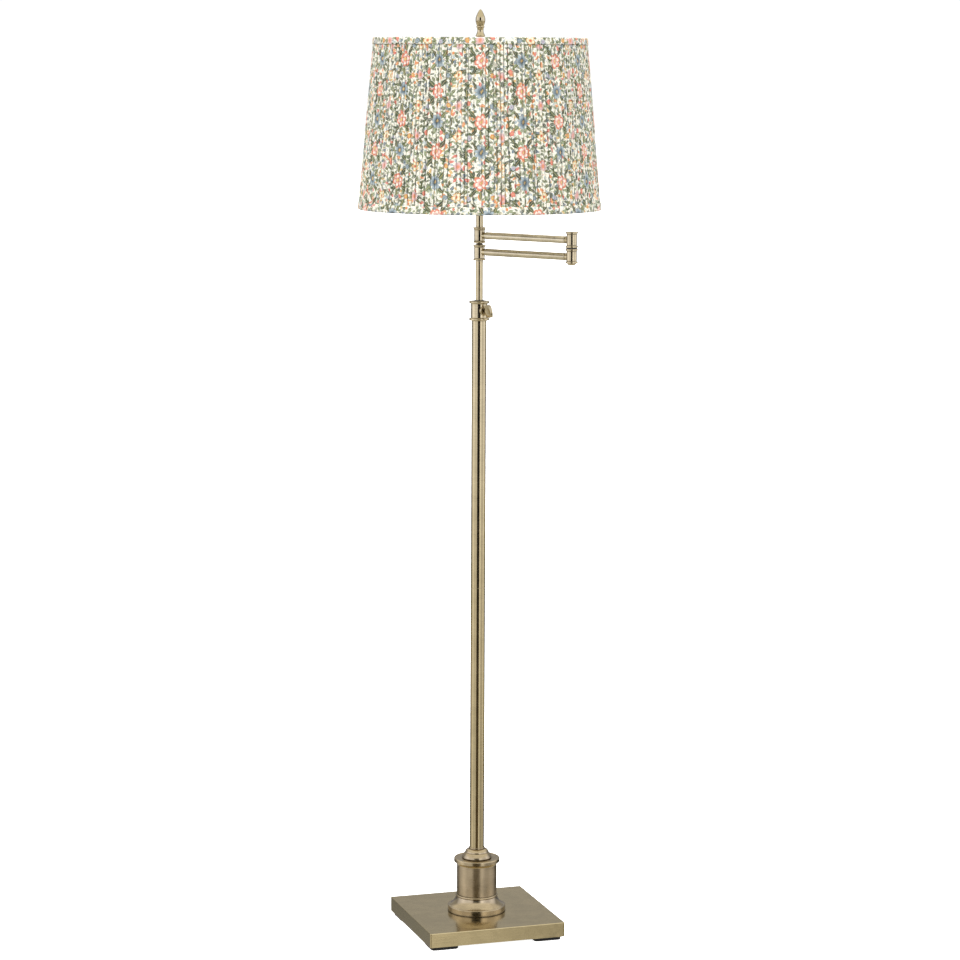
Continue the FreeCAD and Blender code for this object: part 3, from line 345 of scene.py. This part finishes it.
def make_leaf():
    """A pointed leaf along X: mask, a line down its middle, and which half a place is on."""
    g, t, i, o = group("motif_leaf", [("X", "Float", 0.0), ("Y", "Float", 0.0), ("L", "Float", 0.01), ("W", "Float", 0.003), ("Bend", "Float", 0.0)],
                       [("Mask", "Float"), ("Vein", "Float"), ("Half", "Float")])
    u = t.m("DIVIDE", i["X"], i["L"])                                     # -1 to 1
    y = t.m("SUBTRACT", i["Y"], t.m("MULTIPLY", i["Bend"], t.m("SUBTRACT", 1.0, t.m("MULTIPLY", u, u))))
    prof = t.m("MULTIPLY", t.m("SUBTRACT", 1.0, t.m("MULTIPLY", u, u)), t.m("SUBTRACT", 1.0, t.m("MULTIPLY", u, 0.35)))
    w = t.m("MULTIPLY", i["W"], t.m("MAXIMUM", prof, 0.0))
    inside = t.m("MULTIPLY", t.mapr(t.m("SUBTRACT", w, t.m("ABSOLUTE", y)), -0.0001, 0.00018, 0.0, 1.0),
                 t.m("LESS_THAN", t.m("ABSOLUTE", u), 1.0))
    t.put(o["Mask"], inside)
    t.put(o["Vein"], t.m("MULTIPLY", inside, t.mapr(t.m("ABSOLUTE", y), 0.00012, 0.00034, 1.0, 0.0)))
    t.put(o["Half"], t.m("GREATER_THAN", y, 0.0))
    return g


G_PLACE, G_BLOOM, G_LEAF = make_local(), make_bloom(), make_leaf()

CREAM = rgb(252, 250, 238)
CORAL, ROSE, BLUSH = rgb(218, 92, 76), rgb(230, 128, 112), rgb(243, 190, 176)
ORANGE, OCHRE, STRAW = rgb(229, 138, 66), rgb(222, 178, 86), rgb(236, 215, 150)
SLATE, MIST, INK = rgb(84, 108, 126), rgb(166, 184, 195), rgb(44, 56, 66)
SAGE, OLIVE, FOREST, MOSS = rgb(126, 144, 98), rgb(94, 108, 54), rgb(34, 56, 30), rgb(64, 86, 48)
LILAC, STONE = rgb(205, 192, 208), rgb(178, 174, 152)


def printed(name, shift=(0.0, 0.0), squeeze=1.0):
    """Cotton with an all-over print of blooms, buds, sprigs and leaves on cream. The cloth's own place comes with the mesh."""
    mat, t, b = material(name)
    a = t.n("Attribute", attribute_name="cloth", attribute_type="GEOMETRY")
    raw = a.outputs["Vector"]
    parts = t.xyz(raw)
    fold = parts[2]
    p = t.join(t.m("ADD", parts[0], shift[0]), t.m("ADD", parts[1], shift[1]))
    # hand-drawn waver
    wv = t.n("TexNoise", {"Vector": p, "Scale": 95.0, "Detail": 2.0}, noise_dimensions="2D").outputs["Color"]
    p = t.vm("ADD", p, t.vm("SCALE", t.vm("SUBTRACT", wv, (0.5, 0.5, 0.5)), scale=0.0032))

    def grp(g, **ins):
        node = t.n("Group", node_tree=g)
        for k, v in ins.items():
            t.put(node.inputs[k], v)
        return node.outputs

    def place(x, y, turn=0.0):
        return grp(G_PLACE, P=p, X=x * 0.001, Y=y * 0.001, Turn=math.radians(turn))

    col = CREAM
    # fillers: little seeds and dashes on their own scatter
    def scatter(col, scale, length, width, stops, keep, seed):
        v = t.n("TexVoronoi", {"Vector": t.vm("ADD", p, (seed, seed * 1.7, 0)), "Scale": scale, "Randomness": 0.85}, feature="F1",
                voronoi_dimensions="2D")
        d = t.vm("SUBTRACT", t.vm("ADD", p, (seed, seed * 1.7, 0)), v.outputs["Position"])
        rnd = t.xyz(v.outputs["Color"])
        ang = t.m("MULTIPLY", rnd[0], 6.2832)
        c, s = t.m("COSINE", ang), t.m("SINE", ang)
        q = t.xyz(d)
        x = t.m("ADD", t.m("MULTIPLY", q[0], c), t.m("MULTIPLY", q[1], s))
        y = t.m("SUBTRACT", t.m("MULTIPLY", q[1], c), t.m("MULTIPLY", q[0], s))
        lf = grp(G_LEAF, X=x, Y=y, L=t.m("MULTIPLY", length, t.mapr(rnd[1], 0, 1, 0.7, 1.25)), W=width, Bend=t.m("MULTIPLY", t.m("SUBTRACT", rnd[2], 0.5), width))
        tone = t.ramp(rnd[1], stops, "CONSTANT")
        mask = t.m("MULTIPLY", lf["Mask"], t.m("LESS_THAN", rnd[2], keep))
        out = t.mix(mask, col, tone)
        return t.mix(t.m("MULTIPLY", lf["Vein"], 0.6), out, CREAM)

    col = scatter(col, 300.0, 0.0015, 0.00065, [(0.0, SAGE), (0.3, STONE), (0.5, MIST), (0.68, STRAW), (0.82, BLUSH), (0.9, OLIVE)], 0.85, 3.1)
    col = scatter(col, 145.0, 0.0042, 0.0016, [(0.0, SAGE), (0.22, OLIVE), (0.42, MIST), (0.6, MOSS), (0.78, STONE), (0.92, OCHRE)], 0.88, 7.7)
    col = scatter(col, 104.0, 0.0052, 0.0022, [(0.0, MOSS), (0.20, SLATE), (0.36, OLIVE), (0.52, CORAL), (0.62, FOREST), (0.78, SAGE), (0.90, ORANGE)], 0.95, 1.3)

    # two winding stems with paired leaflets
    def stem(col, x, y, sway, phase, tone, leaf_tone, n, length=4.2, width=1.35):
        q = place(x, y)
        wave = t.m("MULTIPLY", t.m("SINE", t.m("ADD", t.m("MULTIPLY", q["Y"], 2 * math.pi / TY), phase)), sway * 0.001)
        off = t.m("SUBTRACT", q["X"], wave)
        pitch = TY / n
        along = t.m("MULTIPLY", t.m("WRAP", t.m("DIVIDE", q["Y"], pitch), 0.5, -0.5), pitch)
        side = t.m("SUBTRACT", t.m("ABSOLUTE", off), 0.0026)
        c, s = math.cos(0.75), math.sin(0.75)
        lx = t.m("ADD", t.m("MULTIPLY", side, c), t.m("MULTIPLY", along, s))
        ly = t.m("SUBTRACT", t.m("MULTIPLY", along, c), t.m("MULTIPLY", side, s))
        lf = grp(G_LEAF, X=lx, Y=ly, L=length * 0.001 / 1.4, W=width * 0.001, Bend=0.0003)
        col = t.mix(lf["Mask"], col, t.mix(lf["Half"], leaf_tone, tuple(c * 0.75 for c in leaf_tone[:3]) + (1,)))
        line = t.mapr(t.m("ABSOLUTE", off), 0.00028, 0.0005, 1.0, 0.0)
        return t.mix(line, col, tone)

    col = stem(col, 21.5, 0, 8.5, 0.4, MOSS, SAGE, 12)
    col = stem(col, 64.5, 0, -7.0, 1.9, OLIVE, MOSS, 10, 4.8, 1.6)

    def leaf(col, x, y, turn, half_len, width, tone, tone2=None, bend=0.0):
        q = place(x, y, turn)
        lf = grp(G_LEAF, X=q["X"], Y=q["Y"], L=half_len * 0.001, W=width * 0.001, Bend=bend * 0.001)
        both = t.mix(lf["Half"], tone, tone2 or tuple(c * 0.62 for c in tone[:3]) + (1,))
        out = t.mix(lf["Mask"], col, both)
        return t.mix(t.m("MULTIPLY", lf["Vein"], 0.75), out, STRAW)

    def bloom(col, x, y, r, petals, notch, stops, line, turn=0.0, line_w=0.16):
        q = place(x, y, turn)
        bl = grp(G_BLOOM, X=q["X"], Y=q["Y"], R=r * 0.001, Petals=float(petals), Notch=notch)
        body = t.ramp(bl["Out"], stops)
        body = t.mix(t.mapr(bl["Petal"], line_w * 0.5, line_w * 1.6, 0.85, 0.0), body, line)
        ring = t.m("MULTIPLY", t.mapr(bl["Out"], 0.90, 0.96, 0.0, 0.7), 1.0)
        body = t.mix(ring, body, line)
        return t.mix(bl["Mask"], col, body)

    # leaves under the large blooms
    for x, y, turn, hl, w, c in [(14, 15, 48, 9, 3.3, FOREST), (-15, 13, 136, 9.5, 3.4, MOSS), (16, -13, -38, 9, 3.2, MOSS), (-13, -16, -128, 9, 3.0, FOREST),
                                 (1, 19.5, 92, 6.5, 2.2, OLIVE), (-2, -20, -86, 7, 2.2, OLIVE)]:
        col = leaf(col, x, y, turn, hl, w, c, bend=0.8)
    for x, y, turn, hl, w, c in [(12, 61, 55, 8.5, 2.8, OLIVE), (-12, 60, 125, 8.5, 2.8, FOREST), (13, 38, -42, 8, 2.8, MOSS), (-13, 38.5, -138, 8, 2.8, SAGE)]:
        col = leaf(col, x, y, turn, hl, w, c, bend=-0.8)
    for x, y, turn, hl, w, c in [(33, 27, 160, 7, 2.3, MOSS), (50, 31, 28, 7, 2.3, FOREST), (35, 72, 200, 6.5, 2.2, SAGE), (52, 67, -24, 7, 2.2, MOSS),
                                 (28, 3, 70, 6.0, 2.0, SLATE), (57, 50, 110, 6.0, 2.0, SLATE), (30, 48, 78, 6.2, 2.0, FOREST), (58, 95, 96, 6.0, 2.0, OLIVE)]:
        col = leaf(col, x, y, turn, hl, w, c)
    # blooms
    col = bloom(col, 0, 0, 12.5, 6, 0.34, [(0.0, OCHRE), (0.18, STRAW), (0.26, CORAL), (0.36, BLUSH), (0.62, CREAM), (0.80, ROSE), (1.0, ORANGE)], CORAL, 14, 0.2)
    col = bloom(col, 0.6, 49, 12.0, 9, 0.42, [(0.0, STRAW), (0.2, OCHRE), (0.28, INK), (0.42, SLATE), (0.72, MIST), (1.0, MIST)], SLATE, 5, 0.3)
    col = bloom(col, 42, 25, 8.4, 5, 0.36, [(0.0, CORAL), (0.22, CORAL), (0.32, STRAW), (0.6, CREAM), (0.8, STRAW), (1.0, ORANGE)], ORANGE, 40)
    col = bloom(col, 43, 74, 7.8, 7, 0.36, [(0.0, OCHRE), (0.25, ROSE), (0.5, BLUSH), (1.0, LILAC)], ROSE, 10)
    col = bloom(col, 22, 24, 4.6, 5, 0.3, [(0.0, INK), (0.3, MIST), (1.0, SLATE)], INK, 0)
    col = bloom(col, -22, 30, 4.4, 5, 0.3, [(0.0, OCHRE), (0.35, ROSE), (1.0, CORAL)], BLUSH, 30)
    col = bloom(col, 23, -24, 4.2, 6, 0.3, [(0.0, STRAW), (0.4, OCHRE), (1.0, ORANGE)], CORAL, 12)
    col = bloom(col, -21, -26, 4.6, 5, 0.3, [(0.0, INK), (0.3, LILAC), (1.0, MIST)], SLATE, 50)
    col = bloom(col, 30, 12, 2.6, 4, 0.3, [(0.0, STRAW), (0.5, CORAL), (1.0, CORAL)], BLUSH, 0)
    col = bloom(col, -31, 8, 2.5, 4, 0.3, [(0.0, STRAW), (0.5, SLATE), (1.0, INK)], MIST, 20)
    col = bloom(col, 31, 61, 2.6, 4, 0.3, [(0.0, CORAL), (0.5, ORANGE), (1.0, ORANGE)], STRAW, 40)
    col = bloom(col, -29, 66, 2.6, 4, 0.3, [(0.0, OCHRE), (0.5, BLUSH), (1.0, ROSE)], CORAL, 10)

    # dye that takes unevenly, and threads
    grain = t.noise(raw, 1500.0, 2.0, 0.6)
    cloud = t.noise(raw, 26.0, 3.0, 0.5)
    col = t.mix(t.mapr(grain, 0.35, 0.70, 0.0, 0.12), col, CREAM)
    col = t.mix(t.mapr(cloud, 0.3, 0.7, 0.0, 0.07), col, STONE)
    wu = t.n("TexWave", {"Vector": raw, "Scale": 420.0, "Distortion": 1.2, "Detail": 1.0, "Detail Scale": 3.0}, wave_type="BANDS", bands_direction="X").outputs["Fac"]
    wy = t.n("TexWave", {"Vector": raw, "Scale": 420.0, "Distortion": 1.2, "Detail": 1.0, "Detail Scale": 3.0}, wave_type="BANDS", bands_direction="Y").outputs["Fac"]
    weave = t.m("MULTIPLY", t.m("ADD", wu, wy), 0.5)
    # the ink is thinner on the crest of a thread
    col = t.mix(t.mapr(weave, 0.25, 0.75, 0.10, 0.0), col, STONE)
    # painted shade: the cloth is darkened towards a dark olive in the valleys of the gathers, where shade falls
    tuck = t.mapr(fold, 0.0, 0.92, 0.92, 0.0, True)
    col = t.mix(tuck, col, t.mix(0.82, col, rgb(38, 42, 26)))
    t.put(b.inputs["Base Color"], col)
    t.put(b.inputs["Roughness"], t.mapr(weave, 0.0, 1.0, 0.92, 0.78))
    b.inputs["Specular IOR Level"].default_value = 0.25
    b.inputs["Sheen Weight"].default_value = 0.12
    b.inputs["Sheen Roughness"].default_value = 0.5
    slub = t.noise(t.vm("MULTIPLY", raw, (900.0, 60.0, 1.0)), 1.0, 2.0, 0.5)
    h = t.m("ADD", t.m("MULTIPLY", weave, 0.6), t.m("MULTIPLY", slub, 0.6))
    t.put(b.inputs["Normal"], t.n("Bump", {"Strength": 0.4, "Distance": 0.00012, "Height": h}).outputs[0])
    return mat


M["shade_fabric"] = printed("printed_cotton")
M["shade_band"] = printed("printed_cotton_band", shift=(0.031, 0.017))

# ------------------------------------------------------------------ finishes on the CAD pieces
SLOT = {s["node"]: s["material_slot"] for s in frame["record"]["subparts"]}
SPECIAL = {"lower_arm_tube": "arm_tube", "upper_arm_tube": "arm_tube_upper_lit", "column_sleeve": "sleeve", "base_shell": "base",
           "column_foot": "turned_foot", "column_cap": "turned_foot", "pole_dome": "turned_foot", "pole_seat_ring": "turned_foot"}
for name, o in NODES.items():
    key = SPECIAL.get(name, SLOT[name])
    if key == "plated_base":
        key = "base"
    o.data.materials.clear()
    o.data.materials.append(M[key])


# ------------------------------------------------------------------ shade cover
def shade_r(z):
    return SHADE_R1 + (SHADE_R0 - SHADE_R1) * (SHADE_Z1 - z) / (SHADE_Z1 - SHADE_Z0)


def mesh_object(name, verts, faces, cloth, mats, smooth=True):
    me = bpy.data.meshes.new(name)
    me.from_pydata(verts.tolist(), [], faces.tolist())
    at = me.attributes.new("cloth", "FLOAT_VECTOR", "POINT")
    at.data.foreach_set("vector", cloth.astype(np.float32).ravel())
    if smooth:
        me.polygons.foreach_set("use_smooth", [True] * len(me.polygons))
    for m in mats:
        me.materials.append(m)
    me.update()
    o = bpy.data.objects.new(name, me)
    scene.collection.objects.link(o)
    return o


def grid_faces(rows, cols, closed=True):
    c = cols if closed else cols - 1
    i, j = np.meshgrid(np.arange(rows - 1), np.arange(c), indexing="ij")
    k = (j + 1) % cols
    return np.stack([i * cols + j, i * cols + k, (i + 1) * cols + k, (i + 1) * cols + j], -1).reshape(-1, 4)


def gathered_cover():
    """The cloth between the two bands: close, uneven gathers with soft crests and tight valleys."""
    rng = np.random.default_rng(11)
    n = 168
    w = rng.lognormal(0.0, 0.30, n)
    w = np.clip(w, 0.55, 1.9)
    w = w / w.sum() * 2 * np.pi
    start = np.concatenate([[0.0], np.cumsum(w)[:-1]])
    z_low, z_high = SHADE_Z0 + 0.0095, SHADE_Z1 - 0.0085
    rows = 46
    z = np.linspace(z_low, z_high, rows)
    zn = (z - z_low) / (z_high - z_low)
    # how deep each valley is, with stretches where it dies out
    deep = rng.choice([0.0014, 0.0018, 0.0021, 0.0023], n, p=[0.24, 0.30, 0.28, 0.18])
    d = np.zeros((rows, n))
    shift = np.zeros((rows, n))
    for i in range(n):
        a, f, ph = rng.uniform(0.08, 0.32), rng.uniform(0.6, 2.2), rng.uniform(0, 6.28)
        g, fg, pg = rng.uniform(0.0, 0.20), rng.uniform(2.5, 5.5), rng.uniform(0, 6.28)
        s = 1 - a * (0.5 + 0.5 * np.sin(2 * np.pi * f * zn + ph)) - g * (0.5 + 0.5 * np.sin(2 * np.pi * fg * zn + pg))
        if rng.random() < 0.30:
            c, wd = rng.uniform(0.15, 0.85), rng.uniform(0.06, 0.22)
            s *= 1 - 0.85 * np.exp(-((zn - c) / wd) ** 2)
        ends = np.clip(1 - np.minimum(zn, 1 - zn) / 0.055, 0, 1)
        d[:, i] = np.maximum(deep[i] * s, ends * rng.uniform(0.0011, 0.0019))
        amp = w[i] * rng.uniform(0.04, 0.13)
        shift[:, i] = amp * np.sin(2 * np.pi * rng.uniform(0.5, 1.6) * zn + rng.uniform(0, 6.28)) * np.sin(np.pi * zn) ** 0.5
        shift[:, i] += 0.35 * amp * np.sin(2 * np.pi * rng.uniform(2.5, 4.5) * zn + rng.uniform(0, 6.28)) * np.sin(np.pi * zn) ** 0.5
    ts = np.array([0.0, 0.045, 0.11, 0.20, 0.34, 0.50, 0.66, 0.80, 0.89, 0.955])
    k = len(ts)
    ang = np.zeros((rows, n * k))
    off = np.zeros((rows, n * k))
    fold = np.zeros((rows, n * k))
    tall = rng.uniform(0.4, 1.0, n)
    width_m = w * 0.192
    for i in range(n):
        j = (i + 1) % n
        wide = w[i] + shift[:, j] - shift[:, i]
        for q, tt in enumerate(ts):
            col = i * k + q
            ang[:, col] = start[i] + shift[:, i] + tt * wide
            near = 0.00085
            left = d[:, i] * np.exp(-((tt * width_m[i]) / near) ** 1.25)
            right = d[:, j] * np.exp(-(((1 - tt) * width_m[i]) / near) ** 1.25)
            crest = 0.00075 * tall[i] * (4 * tt * (1 - tt)) ** 0.8
            off[:, col] = crest - 0.0006 - left - right
            # how deep a place sits in a valley; the cloth's material paints shade in the valleys from this
            fold[:, col] = 1 - np.clip((left + right) / 0.0024, 0, 1)
    slow = 0.0003 * np.sin(3 * ang + 0.6) + 0.00025 * np.sin(5 * ang + 4 * zn[:, None])
    r = shade_r(z)[:, None] + off + slow
    # the ends tuck in behind the bands
    tuck = np.clip(1 - np.minimum(z - z_low, z_high - z) / 0.0035, 0, 1)[:, None]
    r = r * (1 - tuck) + tuck * (shade_r(z)[:, None] - 0.0006 + 0.25 * off)
    v = np.stack([r * np.cos(ang), r * np.sin(ang), np.repeat(z[:, None], n * k, 1)], -1)
    mid = v[rows // 2]
    step = np.linalg.norm(np.roll(mid, -1, 0) - mid, axis=1)
    u = np.concatenate([[0.0], np.cumsum(step)[:-1]])
    drop = np.repeat(rng.normal(0, 0.0009, n), k)
    cloth = np.stack([np.repeat(u[None], rows, 0), np.repeat(z[:, None] - 1.2, n * k, 1) + drop[None], fold], -1)
    faces = grid_faces(rows, n * k)
    o = mesh_object("shade_gathered_cover", v.reshape(-1, 3), faces, cloth.reshape(-1, 3), [M["shade_fabric"]])
    a, b, c, e = (v[:-1], np.roll(v, -1, 1)[:-1], np.roll(v, -1, 1)[1:], v[1:])
    area = 0.5 * (np.linalg.norm(np.cross(b - a, c - a), axis=-1) + np.linalg.norm(np.cross(c - a, e - a), axis=-1)).sum()
    return o, float(step.sum()), float(area)


def band(name, z_edge, inward, height):
    """Trim of the same cloth, wrapped over the shade's rim and round the wire inside it."""
    rng = np.random.default_rng(23 if inward < 0 else 29)
    # (offset from the shade's side, distance from the rim); the wire's centre is 5.55 mm in and 2.6 mm from the rim
    sect = [(-1.35, height - 0.2), (-0.75, height + 0.25), (-0.10, height + 0.30), (0.42, height), (0.62, height - 0.7), (0.70, height - 2.4),
            (0.72, height * 0.5), (0.70, 2.6), (0.62, 1.5), (0.38, 0.65), (-0.15, 0.12), (-0.9, -0.10), (-1.9, -0.16), (-3.2, -0.14), (-4.6, -0.02),
            (-5.9, 0.10), (-7.0, 0.62), (-7.75, 1.6), (-7.98, 2.7), (-7.65, 3.9), (-6.8, 4.75), (-5.7, 5.3), (-4.75, 6.1), (-4.25, 7.2),
            (-4.08, 8.6), (-4.0, 10.2)]
    sect = np.array(sect) * 0.001
    cols = 480
    th = np.linspace(0, 2 * np.pi, cols, endpoint=False)
    rows = len(sect)
    pucker = np.zeros(cols)
    for f in (37, 61, 88, 121):
        pucker += np.sin(f * th + rng.uniform(0, 6.28)) * 0.00005
    seam = np.exp(-((np.angle(np.exp(1j * (th - math.radians(101)))) * 0.19) / 0.0055) ** 8) * 0.0005
    v = np.zeros((rows, cols, 3))
    arc = np.concatenate([[0], np.cumsum(np.linalg.norm(np.diff(sect, axis=0), axis=1))])
    for i, (dx, dz) in enumerate(sect):
        zz = z_edge + inward * dz
        out = 1.0 if i < 12 else 0.4
        near = math.exp(-((height * 0.001 - dz) / 0.002) ** 2) if i < 8 else 0.0
        r = shade_r(zz) + dx + out * (pucker * (0.6 + 1.8 * near) + seam)
        zw = zz + inward * near * pucker * 1.5
        v[i, :, 0], v[i, :, 1], v[i, :, 2] = r * np.cos(th), r * np.sin(th), zw
    cloth = np.stack([np.repeat((th * shade_r(z_edge))[None], rows, 0), np.repeat((-inward * arc)[:, None], cols, 1),
                      np.ones((rows, cols))], -1)
    faces = grid_faces(rows, cols)
    if inward < 0:
        faces = faces[:, ::-1]
    o = mesh_object(name, v.reshape(-1, 3), faces, cloth.reshape(-1, 3), [M["shade_band"]])
    return o, 2 * math.pi * float(shade_r(z_edge) - 0.003), float(arc[-1])


cover, cover_w, cover_area = gathered_cover()
top_band, tb_w, tb_h = band("shade_top_band", SHADE_Z1, -1.0, 11.2)
low_band, lb_w, lb_h = band("shade_bottom_band", SHADE_Z0, 1.0, 12.6)
for o in (cover, top_band, low_band):
    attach(o, "head")
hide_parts("shade_cover")
print("cover width %.3f area %.4f share %.3f; bands %.3f x %.4f, %.3f x %.4f" % (cover_w, cover_area, cover_area / (cover_w * 0.270), tb_w, tb_h, lb_w, lb_h))


# ------------------------------------------------------------------ stage and light
def stage_floor():
    n = 48
    th = np.linspace(0, 2 * np.pi, n, endpoint=False)
    rad = [0.0, 1.0, 3.0, 9.0, 60.0]
    verts = [(0.0, 0.0, 0.0)] + [(r * math.cos(a), r * math.sin(a), 0.0) for r in rad[1:] for a in th]
    faces = [(0, 1 + j, 1 + (j + 1) % n) for j in range(n)]
    for k in range(len(rad) - 2):
        a0, b0 = 1 + k * n, 1 + (k + 1) * n
        faces += [(a0 + j, b0 + j, b0 + (j + 1) % n, a0 + (j + 1) % n) for j in range(n)]
    me = bpy.data.meshes.new("floor")
    me.from_pydata(verts, [], faces)
    mat, t, b = material("pale_floor")
    co = t.n("TexCoord").outputs["Object"]
    n1 = t.noise(co, 3.0, 3.0, 0.5)
    t.put(b.inputs["Base Color"], t.mix(n1, (0.90, 0.90, 0.90, 1), (0.92, 0.92, 0.915, 1)))
    b.inputs["Roughness"].default_value = 0.9
    b.inputs["Specular IOR Level"].default_value = 0.0
    b.inputs["Emission Color"].default_value = (1, 1, 1, 1)
    b.inputs["Emission Strength"].default_value = 0.80
    me.materials.append(mat)
    o = bpy.data.objects.new("floor", me)
    scene.collection.objects.link(o)
    o.visible_glossy = o.visible_diffuse = False


def stage_backdrop():
    """A far white surround that only the camera sees."""
    import bmesh
    me = bpy.data.meshes.new("backdrop")
    bm = bmesh.new()
    bmesh.ops.create_uvsphere(bm, u_segments=48, v_segments=24, radius=55.0)
    bm.to_mesh(me)
    bm.free()
    mat = bpy.data.materials.new("white_surround")
    mat.use_nodes = True
    t = Tree(mat.node_tree)
    mat.node_tree.nodes.clear()
    out = t.n("OutputMaterial")
    em = t.n("Emission", {"Color": (1, 1, 1, 1), "Strength": 1.05})
    t.t.links.new(em.outputs[0], out.inputs[0])
    me.materials.append(mat)
    o = bpy.data.objects.new("backdrop", me)
    scene.collection.objects.link(o)
    o.visible_glossy = o.visible_diffuse = o.visible_shadow = o.visible_transmission = False


def studio():
    """Two tall soft boxes either side of the viewer, a narrow dark gap between them, a soft ceiling and a dim rear."""
    world = bpy.data.worlds.new("studio")
    scene.world = world
    world.use_nodes = True
    t = Tree(world.node_tree)
    world.node_tree.nodes.clear()
    out = t.n("OutputWorld")
    bg = t.n("Background")
    t.t.links.new(bg.outputs[0], out.inputs[0])
    d = t.n("TexCoord").outputs["Generated"]
    c = t.vm("DOT_PRODUCT", d, tuple(FRONT))
    s = t.vm("DOT_PRODUCT", d, tuple(SIDE))
    z = t.xyz(d)[2]
    ang = t.m("ARCTAN2", s, c)
    fa = t.m("ADD", t.m("DIVIDE", ang, 2 * math.pi), 0.5)

    def at(deg, v):
        return (0.5 + deg / 360.0, (v, v * 0.985, v * 0.955))
    ring = t.ramp(fa, [at(-180, 0.09), at(-128, 0.09), at(-114, 0.46), at(-97, 0.62), at(-79, 0.86), at(-66, 0.68), at(-56, 0.54), at(-42, 0.62), at(-21.5, 0.58),
                       at(-18.5, 0.006), at(18.5, 0.006), at(21.5, 0.90), at(36, 0.82), at(48, 0.54), at(70, 0.50), at(88, 0.80),
                       at(112, 0.52), at(128, 0.09), at(180, 0.09)])
    # what the upper tubes mirror is brighter and cooler than what the foot of the lamp mirrors
    high = t.mapr(z, -0.158, -0.112, 0.0, 1.0, True)
    ring = t.mix(high, ring, t.mix(1.0, ring, (1.40, 1.46, 1.78, 1), "MULTIPLY"))
    gap = t.m("MULTIPLY", t.mapr(t.m("ABSOLUTE", ang), 0.33, 0.37, 1.0, 0.0, True), t.mapr(z, -0.190, -0.250, 0.0, 1.0, True))
    ring = t.mix(gap, ring, (0.115, 0.084, 0.040, 1))
    mid = t.m("MULTIPLY", t.mapr(z, -0.222, -0.248, 0.0, 1.0, True), t.mapr(z, -0.2765, -0.2795, 1.0, 0.0, True))
    ring = t.mix(mid, ring, t.mix(1.0, ring, (0.72, 0.70, 0.68, 1), "MULTIPLY"))
    low = t.mapr(z, -0.266, -0.279, 0.0, 1.0, True)
    side = t.m("MULTIPLY", t.mapr(ang, -2.72, -2.62, 0.0, 1.0, True), t.mapr(ang, -2.35, -2.25, 1.0, 0.0, True))
    ring = t.mix(t.m("MULTIPLY", low, side), ring, (0.235, 0.235, 0.225, 1))
    right = t.m("MULTIPLY", t.mapr(ang, 0.30, 0.36, 0.0, 1.0, True), t.mapr(ang, 0.612, 0.664, 0.14, 0.90, True))
    ring = t.mix(t.m("MULTIPLY", low, right), ring, (0.05, 0.05, 0.045, 1))
    rear_up = t.m("MULTIPLY", t.mapr(t.m("ABSOLUTE", ang), 1.9, 2.35, 0.0, 1.0, True), t.mapr(z, -0.03, 0.06, 0.0, 1.0, True))
    col = t.mix(rear_up, ring, (0.335, 0.33, 0.325, 1))
    col = t.mix(t.mapr(z, 0.38, 0.58, 0.0, 1.0, True), col, (0.80, 0.79, 0.77, 1))
    col = t.mix(t.mapr(z, -0.31, -0.52, 0.0, 1.0, True), col, (0.52, 0.51, 0.48, 1))
    t.put(bg.inputs["Color"], col)
    bg.inputs["Strength"].default_value = 1.35
    world.cycles_visibility.camera = False
    world.cycles_visibility.diffuse = False

    def sun(name, az, el, strength, angle):
        """az is from the viewer's direction, positive to the viewer's right."""
        light = bpy.data.lights.new(name, "SUN")
        light.energy = strength
        light.angle = math.radians(angle)
        light.color = (1.0, 0.985, 0.965)
        o = bpy.data.objects.new(name, light)
        a, e = math.radians(az), math.radians(el)
        way = FRONT * math.cos(a) * math.cos(e) + SIDE * math.sin(a) * math.cos(e) + Vector((0, 0, math.sin(e)))
        o.rotation_mode = "QUATERNION"
        o.rotation_quaternion = way.to_track_quat("Z", "Y")
        o.visible_glossy = False
        scene.collection.objects.link(o)

    sun("soft_top", 0, 88, 2.0, 120)
    sun("soft_left", -50, 28, 2.8, 75)
    sun("soft_right", 52, 30, 2.6, 75)
    sun("soft_rear_left", -140, 30, 1.2, 90)
    sun("soft_rear_right", 140, 30, 1.2, 90)


stage_floor()
stage_backdrop()
studio()
scene.view_settings.view_transform = "Standard"
scene.view_settings.look = "None"
scene.view_settings.exposure = 0.0
scene.view_settings.gamma = 1.0
